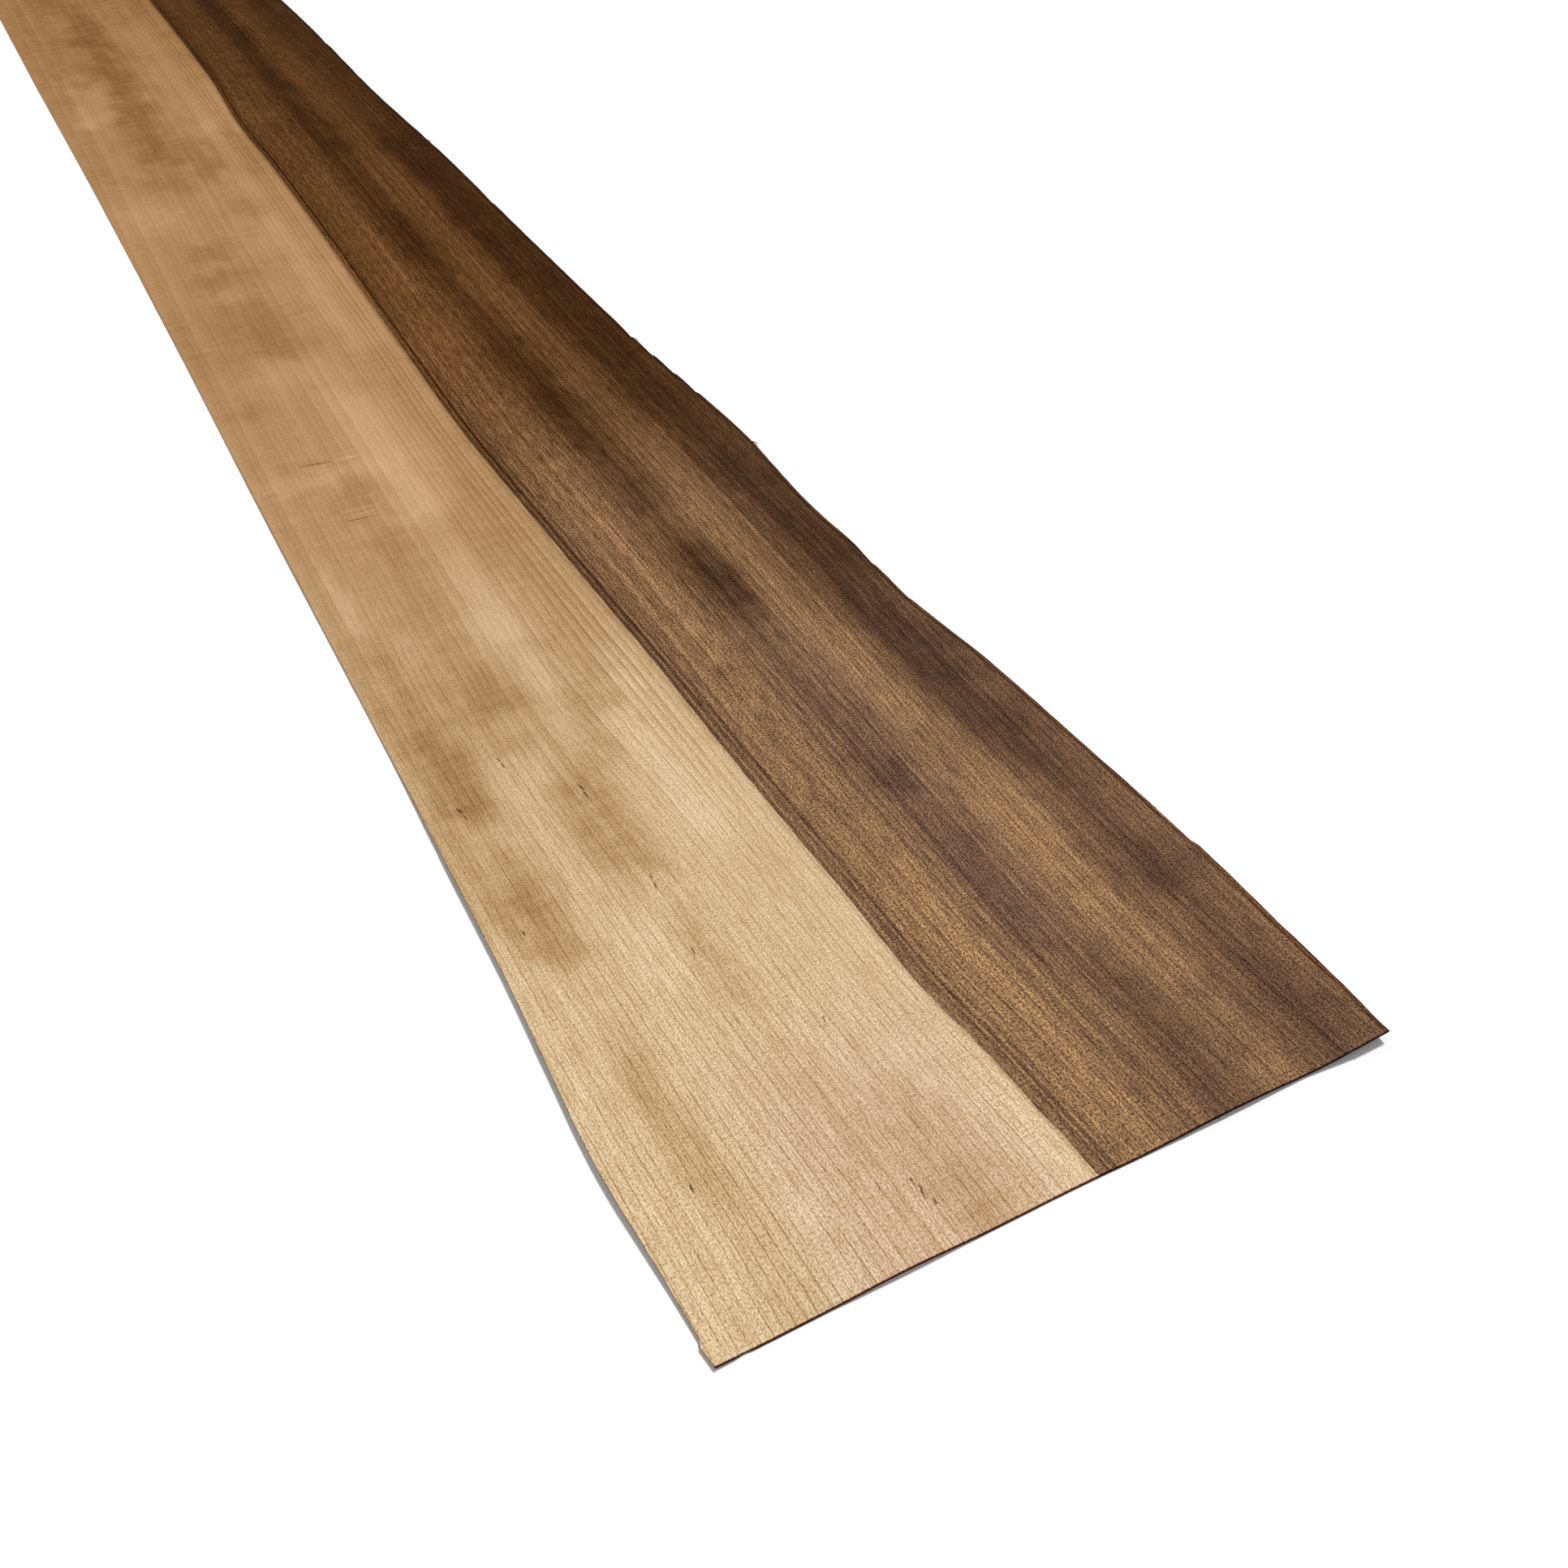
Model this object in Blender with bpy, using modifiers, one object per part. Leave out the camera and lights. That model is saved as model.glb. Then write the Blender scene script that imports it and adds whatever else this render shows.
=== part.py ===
"""Wood veneer sheet: one long leaf of sliced two-toned wood, lying on a level surface.

Lengths are in metres. X runs along the grain, Y across it and Z up. The near cut is at +X,
the sapwood side at -Y and the waney heartwood side at +Y. The origin is in the middle of the
leaf's outline, on the surface that it lies on.

Stations are distances along the leaf from the near cut's mean line, which its foremost point
leads. Offsets are distances across it from the straight line through a corner of that cut, and
grow towards the heartwood side.
"""

import math

import bmesh
import bpy

# The leaf as it is sold
LEAF_LENGTH = 2.44
CUT_WIDTH = 0.249
LEAF_THICKNESS = 0.0006

# Sapwood rim: gently bowed, as (station, offset)
SAPWOOD_RIM = (
    (0.0, -0.0001),
    (0.03, -0.0011),
    (0.075, -0.0036),
    (0.12, -0.0024),
    (0.16, -0.0011),
    (0.22, -0.0006),
    (0.35, 0.0),
    (0.5, 0.0003),
    (0.7, 0.0018),
    (1.0, 0.0025),
    (1.3, 0.0014),
)
EAR_LENGTH = 0.0082
EAR_STAND = 0.001
EAR_SHOULDER = 0.001

# Heartwood rim: waney, with its crests and hollows, as (station, offset)
WANEY_RIM = (
    (0.0, -0.0008),
    (0.02, 0.0012),
    (0.05, 0.0026),
    (0.1, 0.0041),
    (0.16, 0.0025),
    (0.2, 0.0016),
    (0.24, -0.0001),
    (0.28, -0.004),
    (0.31, -0.0058),
    (0.35, -0.0056),
    (0.4, -0.0045),
    (0.46, -0.0008),
    (0.5, -0.0012),
    (0.6, -0.005),
    (0.8, -0.0045),
    (0.95, -0.0028),
    (1.12, -0.0048),
    (1.3, -0.0016),
    (1.4, -0.0012),
)

# Near cut: not quite straight, as (offset, station), and how far its foremost point leads
NEAR_CUT = (
    (0.0, 0.0003),
    (0.03, 0.0004),
    (0.055, 0.0004),
    (0.09, 0.0001),
    (0.125, 0.0),
    (0.15, -0.0006),
    (0.21, -0.0012),
    (0.235, -0.0022),
    (0.249, -0.002),
)
CUT_LEAD = 0.0022
CUT_REACH = 0.04

# Line between sapwood and heartwood, measured from the sapwood corner, as (station, offset)
HEART_LINE = ((0.0, 0.131), (0.145, 0.122), (0.54, 0.1166), (0.99, 0.1285), (1.09, 0.128), (1.3, 0.1355))

# Split beside the heartwood rim, which leaves a thin strip standing proud
STRIP_WIDTH = 0.004
SPLIT_STATION = 0.0926
SPLIT_LENGTH = 0.0108
SPLIT_GAPE = 0.0005
SPLIT_CELLS = 4
STRIP_STAND = 0.0005
STRIP_TEAR = 0.0008

# Curl of the sapwood rim
SAPWOOD_CURL_HEIGHT = 0.0014
SAPWOOD_CURL_RISE = 0.06
SAPWOOD_CURL_HOLD = 0.14
SAPWOOD_CURL_FALL = 0.1
SAPWOOD_CURL_REACH = 0.045

# Curl of the near corner on the heartwood side, which stands up past a soft fold
CORNER_CURL_HEIGHT = 0.0032
CORNER_CURL_LENGTH = 0.085
CORNER_CURL_FLAP = 0.008
CORNER_CURL_WIDTH = 0.036

# Ripples along the near cut: height, distance of the crest from the sapwood corner, half width
RIPPLES = ((0.0006, 0.0, 0.013), (0.0011, 0.062, 0.03), (0.0013, 0.185, 0.044))
RIPPLE_REACH = 0.07

# Buckle of the heartwood rim
BUCKLE_HEIGHT = 0.0024
BUCKLE_STATION = 0.335
BUCKLE_HALF_LENGTH = 0.055
BUCKLE_REACH = 0.06

# Cells of the surface that is given the leaf's thickness
NEAR_CELL = 0.006
FAR_CELL = 0.015
SAPWOOD_CELLS = 12
HEARTWOOD_CELLS = 11

SAPWOOD_COLOUR = (0.55, 0.39, 0.22, 1.0)
HEARTWOOD_COLOUR = (0.16, 0.085, 0.042, 1.0)
WOOD_ROUGHNESS = 0.6


def ramp(value, start, end):
    """Smooth step from 0 at start to 1 at end."""
    share = min(max((value - start) / (end - start), 0.0), 1.0)
    return 0.5 - 0.5 * math.cos(math.pi * share)


def curl(distance, reach):
    """Height of a curled edge, as a share of its tip: 1 at the edge and 0 past its reach."""
    return max(1.0 - distance / reach, 0.0) ** 2


def through(knots, station):
    """Smooth curve through the knots, level at its two ends and straight past them."""
    if station <= knots[0][0]:
        return knots[0][1]
    if station >= knots[-1][0]:
        return knots[-1][1]
    index = 0
    while knots[index + 1][0] < station:
        index += 1
    (start, low), (end, high) = knots[index], knots[index + 1]
    span = end - start
    share = (station - start) / span
    leaving = slope(knots, index) * span
    arriving = slope(knots, index + 1) * span
    square = share * share
    cube = square * share
    return (
        (2 * cube - 3 * square + 1) * low
        + (cube - 2 * square + share) * leaving
        + (3 * square - 2 * cube) * high
        + (cube - square) * arriving
    )


def slope(knots, index):
    """Slope of the curve at a knot, taken from the knots on its two sides."""
    if index in (0, len(knots) - 1):
        return 0.0
    before, after = knots[index - 1], knots[index + 1]
    return (after[1] - before[1]) / (after[0] - before[0])


def split_marks():
    """Stations of the split. The strip is torn off one cell short of its far end."""
    return [SPLIT_STATION + SPLIT_LENGTH * step / SPLIT_CELLS for step in range(SPLIT_CELLS + 1)]


def sapwood_edge(station):
    """Sapwood rim, with the small ear that stands out beside the near corner."""
    edge = through(SAPWOOD_RIM, station)
    if station <= EAR_LENGTH:
        edge -= EAR_STAND * station / EAR_LENGTH
    return edge


def heartwood_edge(station):
    """Waney rim, with the split strip standing proud of it as far as its torn end."""
    edge = CUT_WIDTH + through(WANEY_RIM, station)
    torn_end = split_marks()[-2]
    if station <= torn_end:
        edge += STRIP_STAND * ramp(station, 0.0, torn_end)
    return edge


def across(station, column):
    """Offset of one line of the surface, which follows the rims and the heart line."""
    low = sapwood_edge(station)
    heart = through(HEART_LINE, station)
    strip = heartwood_edge(station) - STRIP_WIDTH
    if column <= SAPWOOD_CELLS:
        return low + (heart - low) * column / SAPWOOD_CELLS
    if column <= SAPWOOD_CELLS + HEARTWOOD_CELLS:
        return heart + (strip - heart) * (column - SAPWOOD_CELLS) / HEARTWOOD_CELLS
    return heartwood_edge(station)


def place_along(station, offset):
    """X of a point. Beside the near cut it follows the cut's own line."""
    lean = through(NEAR_CUT, offset) * curl(station, CUT_REACH)
    return LEAF_LENGTH / 2 - CUT_LEAD - station - lean


def height(station, offset):
    """Height of the leaf's underside above the surface that it lies on."""
    from_sapwood = offset - sapwood_edge(station)
    from_waney = heartwood_edge(station) - offset
    hold_end = SAPWOOD_CURL_RISE + SAPWOOD_CURL_HOLD
    along = ramp(station, 0.0, SAPWOOD_CURL_RISE)
    along *= 1.0 - ramp(station, hold_end, hold_end + SAPWOOD_CURL_FALL)
    total = SAPWOOD_CURL_HEIGHT * along * curl(from_sapwood, SAPWOOD_CURL_REACH)
    flap = 1.0 - ramp(from_waney, CORNER_CURL_FLAP, CORNER_CURL_WIDTH)
    total += CORNER_CURL_HEIGHT * curl(station, CORNER_CURL_LENGTH) * flap
    for crest, middle, half_width in RIPPLES:
        swell = 1.0 - ramp(abs(offset - middle), 0.0, half_width)
        total += crest * swell * curl(station, RIPPLE_REACH)
    ridge = 1.0 - ramp(abs(station - BUCKLE_STATION), 0.0, BUCKLE_HALF_LENGTH)
    total += BUCKLE_HEIGHT * ridge * curl(from_waney, BUCKLE_REACH)
    return total


def row_stations():
    """Stations of the rows: short cells where the leaf waves, long ones where it lies flat."""
    waves_end = max(
        SAPWOOD_CURL_RISE + SAPWOOD_CURL_HOLD + SAPWOOD_CURL_FALL,
        BUCKLE_STATION + BUCKLE_HALF_LENGTH,
    )
    marks = [0.0, EAR_LENGTH, EAR_LENGTH + EAR_SHOULDER, waves_end, LEAF_LENGTH - CUT_LEAD]
    marks += split_marks()
    marks += [split_marks()[-2] + STRIP_TEAR]
    marks = sorted(set(marks))
    stations = [marks[0]]
    for start, end in zip(marks, marks[1:]):
        cell = NEAR_CELL if end <= waves_end else FAR_CELL
        steps = math.ceil((end - start) / cell)
        stations += [start + (end - start) * step / steps for step in range(1, steps)]
        stations += [end]
    return stations


def open_split(leaf, stations):
    """Rip the surface along the strip's inner line and spread the two lips."""
    strip_column = SAPWOOD_CELLS + HEARTWOOD_CELLS
    split_start, split_end = split_marks()[0], split_marks()[-1]
    column = leaf.verts.layers.int["column"]
    row = leaf.verts.layers.int["row"]

    def on_split(vert):
        return vert[column] == strip_column and split_start <= stations[vert[row]] <= split_end

    ripped = [edge for edge in leaf.edges if all(on_split(vert) for vert in edge.verts)]
    bmesh.ops.split_edges(leaf, edges=ripped)
    for vert in leaf.verts:
        if not on_split(vert):
            continue
        share = (stations[vert[row]] - SPLIT_STATION) / SPLIT_LENGTH
        outer_lip = all(face.calc_center_median().y > vert.co.y for face in vert.link_faces)
        side = 0.5 if outer_lip else -0.5
        vert.co.y += side * SPLIT_GAPE * math.sin(math.pi * share)


def wood_material(name, colour):
    """Plain bare wood of one colour."""
    material = bpy.data.materials.new(name)
    material.use_nodes = True
    shader = material.node_tree.nodes["Principled BSDF"]
    shader.inputs["Base Color"].default_value = colour
    shader.inputs["Roughness"].default_value = WOOD_ROUGHNESS
    shader.inputs["Metallic"].default_value = 0.0
    material.diffuse_color = colour
    return material


def veneer_sheet(collection):
    """The leaf: an open surface, shaped row by row between its rims, and given its thickness."""
    stations = row_stations()
    rows = len(stations) - 1
    columns = SAPWOOD_CELLS + HEARTWOOD_CELLS + 1
    leaf = bmesh.new()
    row = leaf.verts.layers.int.new("row")
    column = leaf.verts.layers.int.new("column")
    bmesh.ops.create_grid(leaf, x_segments=rows, y_segments=columns, size=0.5)
    for vert in leaf.verts:
        vert[row] = round((0.5 - vert.co.x) * rows)
        vert[column] = round((0.5 + vert.co.y) * columns)
        station = stations[vert[row]]
        offset = across(station, vert[column])
        vert.co = (place_along(station, offset), offset, height(station, offset))
    for face in leaf.faces:
        face.material_index = int(min(vert[column] for vert in face.verts) >= SAPWOOD_CELLS)
    open_split(leaf, stations)
    offsets = [vert.co.y for vert in leaf.verts]
    middle = (min(offsets) + max(offsets)) / 2
    bmesh.ops.translate(leaf, verts=leaf.verts, vec=(0.0, -middle, 0.0))

    mesh = bpy.data.meshes.new("veneer_sheet")
    leaf.to_mesh(mesh)
    leaf.free()
    mesh.materials.append(wood_material("sapwood", SAPWOOD_COLOUR))
    mesh.materials.append(wood_material("heartwood", HEARTWOOD_COLOUR))
    mesh.shade_smooth()
    sheet = bpy.data.objects.new("veneer_sheet", mesh)
    collection.objects.link(sheet)
    thickness = sheet.modifiers.new("thickness", "SOLIDIFY")
    thickness.thickness = LEAF_THICKNESS
    thickness.offset = 1.0
    thickness.use_even_offset = True
    return sheet


def main():
    for existing in list(bpy.data.objects):
        bpy.data.objects.remove(existing, do_unlink=True)
    collection = bpy.data.collections.new("wood_veneer_sheet")
    bpy.context.scene.collection.children.link(collection)
    veneer_sheet(collection)


main()
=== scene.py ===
"""Looks of a wood veneer sheet: one leaf of sliced two-toned wood, lying on a white floor.

Lengths are in metres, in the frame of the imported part: X along the grain, Y across it, Z up.
A station is a distance along the leaf from its near cut, and an offset is a distance across it
from the sapwood corner of that cut.
"""

import logging
import math
from dataclasses import dataclass
from enum import Enum

import bpy
import numpy as np
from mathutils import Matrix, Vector, noise
from mathutils.bvhtree import BVHTree


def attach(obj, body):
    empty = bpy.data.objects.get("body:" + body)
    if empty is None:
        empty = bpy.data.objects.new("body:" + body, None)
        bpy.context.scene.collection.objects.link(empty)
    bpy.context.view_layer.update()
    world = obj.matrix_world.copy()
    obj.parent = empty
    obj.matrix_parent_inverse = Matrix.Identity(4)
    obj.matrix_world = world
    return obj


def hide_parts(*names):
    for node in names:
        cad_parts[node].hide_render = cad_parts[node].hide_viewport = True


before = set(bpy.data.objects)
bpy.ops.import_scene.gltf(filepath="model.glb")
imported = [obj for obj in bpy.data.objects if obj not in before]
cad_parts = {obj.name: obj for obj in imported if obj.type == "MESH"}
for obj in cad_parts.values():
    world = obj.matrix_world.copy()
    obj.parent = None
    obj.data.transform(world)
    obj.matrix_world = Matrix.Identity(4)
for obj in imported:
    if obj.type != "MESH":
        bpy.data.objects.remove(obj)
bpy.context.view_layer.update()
LOG = logging.getLogger("veneer")

Colour = tuple[float, float, float]
Socket = bpy.types.NodeSocket
Knots = tuple[tuple[float, float], ...]


def ramp(value: np.ndarray | float, start: float, end: float) -> np.ndarray:
    """Smooth step from 0 at start to 1 at end.

    Args:
        value: where the step is read.
        start: where it leaves 0.
        end: where it reaches 1.

    Returns:
        The height of the step at each value.
    """
    share = np.clip((np.asarray(value, float) - start) / (end - start), 0.0, 1.0)
    return share * share * (3.0 - 2.0 * share)


def through(knots: Knots, value: np.ndarray) -> np.ndarray:
    """Smooth curve through knots, level at its two ends and straight past them.

    Args:
        knots: places and heights that the curve passes.
        value: where the curve is read.

    Returns:
        The curve's height at each value.
    """
    places, heights = np.array(knots).T
    slopes = np.zeros_like(heights)
    slopes[1:-1] = (heights[2:] - heights[:-2]) / (places[2:] - places[:-2])
    value = np.clip(value, places[0], places[-1])
    index = np.clip(np.searchsorted(places, value, side="right") - 1, 0, len(places) - 2)
    span = places[index + 1] - places[index]
    share = (value - places[index]) / span
    rise = share * share * (3.0 - 2.0 * share)
    leaving = share * (1.0 - share) ** 2 * slopes[index] * span
    arriving = share * share * (1.0 - share) * slopes[index + 1] * span
    return heights[index] * (1.0 - rise) + heights[index + 1] * rise + leaving - arriving


class Side(Enum):
    """The two long rims of the leaf."""

    SAPWOOD = -1
    WANEY = 1


@dataclass(frozen=True)
class SoftPatch:
    """A soft-edged patch of the figure, between two stations and two offsets."""

    start: float
    end: float
    low: float
    high: float
    strength: float
    fade: float = 0.02
    softness: float = 0.38

    def value(self, station: np.ndarray, offset: np.ndarray) -> np.ndarray:
        """Strength of the patch at each point.

        Args:
            station: distance of each point from the near cut.
            offset: distance of each point from the sapwood corner's line.

        Returns:
            The patch's strength, which fades to nothing outside it.
        """
        near, far = self.fade / 2, self.fade
        along = ramp(station, self.start - near, self.start + near)
        along = along * (1.0 - ramp(station, self.end - far, self.end + far))
        side = self.softness * (self.high - self.low)
        across = ramp(offset, self.low - side, self.low + side)
        across = across * (1.0 - ramp(offset, self.high - side, self.high + side))
        return self.strength * along * across


@dataclass(frozen=True)
class Crease:
    """A shallow bend across the grain: its station, its run of offsets, its lean, height and width."""

    station: float
    low: float
    high: float
    lean: float
    height: float
    width: float

    def value(self, station: np.ndarray, offset: np.ndarray) -> np.ndarray:
        """Height that the crease adds at each point.

        Args:
            station: distance of each point from the near cut.
            offset: distance of each point from the sapwood corner's line.

        Returns:
            The height, which fades to nothing past the crease's run.
        """
        middle = self.station + self.lean * (self.high - offset)
        run = (self.high - self.low) / 4
        rising = ramp(offset, self.low, self.low + run)
        falling = 1.0 - ramp(offset, self.high - run, self.high)
        return self.height * rising * falling * np.exp(-(((station - middle) / self.width) ** 2))


# Heart line, between sapwood and heartwood, as (station, offset)
HEART_LINE = (
    (0.0, 0.1305),
    (0.03, 0.1287),
    (0.06, 0.1267),
    (0.09, 0.1234),
    (0.12, 0.1229),
    (0.16, 0.1223),
    (0.2, 0.1213),
    (0.25, 0.1206),
    (0.3, 0.1204),
    (0.35, 0.1191),
    (0.42, 0.1176),
    (0.49, 0.116),
    (0.54, 0.1153),
    (0.66, 0.1181),
    (0.8, 0.1222),
    (0.99, 0.1264),
    (1.09, 0.1262),
    (1.21, 0.1324),
    (1.3, 0.1342),
    (1.475, 0.1353),
)

# Growth rings that the grain follows, from the sapwood rim to the waney one, as (station, offset)
RING_PATHS = (
    ((0.0, 0.01), (0.1, 0.0078), (0.3, 0.0055), (0.45, 0.0065), (0.7, 0.0085), (1.3, 0.018)),
    ((0.0, 0.062), (0.1, 0.0575), (0.2, 0.0532), (0.28, 0.0503), (0.4, 0.0528), (0.6, 0.0568), (1.3, 0.071)),
    (
        (0.0, 0.0905),
        (0.1, 0.0867),
        (0.2, 0.0838),
        (0.26, 0.079),
        (0.32, 0.0752),
        (0.4, 0.0778),
        (0.6, 0.0812),
        (1.3, 0.097),
    ),
    (
        (0.0, 0.1175),
        (0.08, 0.1125),
        (0.15, 0.1098),
        (0.26, 0.108),
        (0.34, 0.106),
        (0.54, 0.1035),
        (0.66, 0.1065),
        (1.3, 0.121),
    ),
    HEART_LINE,
    ((0.0, 0.16), (0.1, 0.1575), (0.25, 0.158), (0.45, 0.161), (0.6, 0.162), (1.3, 0.177)),
    ((0.0, 0.215), (0.1, 0.2145), (0.2, 0.217), (0.4, 0.2245), (0.6, 0.23), (1.3, 0.243)),
)

# Soft brown patches of the sapwood (above 0) and pale ones (below 0)
SAPWOOD_PATCHES = (
    SoftPatch(0.046, 0.12, 0.015, 0.03, 0.5),
    SoftPatch(-0.02, 0.05, 0.06, 0.11, 0.35, 0.04),
    SoftPatch(-0.02, 0.07, 0.084, 0.098, 0.3, 0.04),
    SoftPatch(0.18, 0.36, -0.02, 0.02, 0.45, 0.04),
    SoftPatch(0.27, 0.325, 0.034, 0.064, 0.6, 0.02),
    SoftPatch(0.28, 0.33, 0.082, 0.098, 0.6, 0.02),
    SoftPatch(0.33, 0.54, 0.104, 0.13, 0.3, 0.03),
    SoftPatch(0.345, 0.52, -0.02, 0.014, 0.12, 0.03),
    SoftPatch(0.19, 0.3, 0.085, 0.112, -0.4, 0.03),
    SoftPatch(0.3, 0.54, 0.085, 0.112, -0.15, 0.03),
    SoftPatch(0.33, 0.5, 0.082, 0.102, 0.45, 0.03),
    SoftPatch(-0.02, 0.05, 0.106, 0.126, -0.2, 0.02),
    SoftPatch(-0.02, 0.04, 0.097, 0.109, 0.25, 0.012),
    SoftPatch(0.24, 0.31, 0.044, 0.056, -0.3, 0.03),
    SoftPatch(0.285, 0.31, 0.1, 0.109, -0.3, 0.02),
    # Darker over the whole width past 1.3 m, partly painted shade of light falling off towards the far end
    SoftPatch(1.3, 2.6, -0.05, 0.3, 0.15, 0.1),
    SoftPatch(0.13, 0.17, 0.042, 0.058, -0.3),
    SoftPatch(-0.02, 0.05, 0.022, 0.036, 0.25),
    SoftPatch(0.04, 0.09, 0.062, 0.078, 0.3),
    SoftPatch(0.66, 0.76, -0.02, 0.04, 0.25, 0.03),
    SoftPatch(0.16, 0.215, 0.01, 0.03, 0.85),
    SoftPatch(0.24, 0.3, 0.01, 0.027, 0.95, 0.02),
    SoftPatch(0.29, 0.37, 0.012, 0.022, 0.5, 0.03),
    SoftPatch(0.11, 0.165, 0.062, 0.074, 0.4, 0.02),
    SoftPatch(0.186, 0.256, 0.049, 0.071, 0.85, 0.022),
    SoftPatch(0.25, 0.3, 0.074, 0.084, 0.45, 0.03),
    SoftPatch(0.298, 0.362, 0.03, 0.06, 0.5, 0.012),
    SoftPatch(0.37, 0.465, 0.03, 0.06, 0.35, 0.014),
    SoftPatch(0.478, 0.517, 0.032, 0.062, 0.35, 0.012),
    SoftPatch(0.31, 0.335, 0.068, 0.084, -0.35, 0.016),
    SoftPatch(0.345, 0.386, 0.058, 0.084, -0.4, 0.016),
    SoftPatch(0.388, 0.43, 0.066, 0.078, -0.3, 0.016),
    SoftPatch(0.46, 0.62, 0.06, 0.085, -0.63, 0.03, 0.6),
    SoftPatch(0.518, 0.534, 0.004, 0.06, -0.35, 0.012),
    SoftPatch(0.385, 0.44, 0.01, 0.018, -0.35, 0.02),
    SoftPatch(0.605, 0.626, 0.008, 0.03, 0.4, 0.014),
    SoftPatch(0.634, 0.67, 0.02, 0.075, -0.3, 0.02),
    SoftPatch(0.67, 0.76, 0.036, 0.072, 0.55, 0.014),
    SoftPatch(0.66, 0.9, 0.09, 0.112, -0.4, 0.03),
    SoftPatch(0.785, 0.862, 0.03, 0.068, 0.5, 0.02),
    SoftPatch(0.815, 0.828, 0.036, 0.062, -0.5, 0.008),
    SoftPatch(0.9, 0.94, 0.076, 0.096, 0.4, 0.02),
    SoftPatch(0.94, 1.12, 0.094, 0.112, -0.35, 0.03),
    SoftPatch(0.98, 1.08, 0.074, 0.088, 0.4, 0.03),
    SoftPatch(0.965, 1.0, 0.036, 0.066, 0.4, 0.02),
    SoftPatch(1.03, 1.18, 0.048, 0.07, 0.75, 0.03),
    SoftPatch(0.9, 0.97, 0.015, 0.04, -0.35, 0.03),
    SoftPatch(1.0, 1.16, 0.02, 0.036, -0.3, 0.02),
    SoftPatch(1.14, 1.245, 0.022, 0.044, -0.5, 0.016),
    SoftPatch(1.265, 1.285, 0.026, 0.044, -0.35, 0.012),
    SoftPatch(1.18, 1.5, 0.052, 0.076, 0.7, 0.06),
    SoftPatch(1.08, 1.42, 0.09, 0.125, -0.5, 0.05),
    SoftPatch(1.5, 1.7, 0.03, 0.06, 0.5, 0.05),
    SoftPatch(1.74, 1.9, 0.07, 0.1, -0.4, 0.05),
    SoftPatch(1.82, 2.05, 0.02, 0.05, 0.5, 0.05),
    SoftPatch(2.12, 2.3, 0.055, 0.085, 0.5, 0.05),
    SoftPatch(2.2, 2.4, 0.01, 0.03, -0.4, 0.05),
    # Darker over the whole width past 0.97 m and 1.2 m, partly painted shade of light falling off towards
    # the far end
    SoftPatch(0.97, 2.6, -0.05, 0.3, 0.4, 0.08),
    SoftPatch(1.2, 2.6, -0.05, 0.3, 0.2, 0.15),
)

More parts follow.
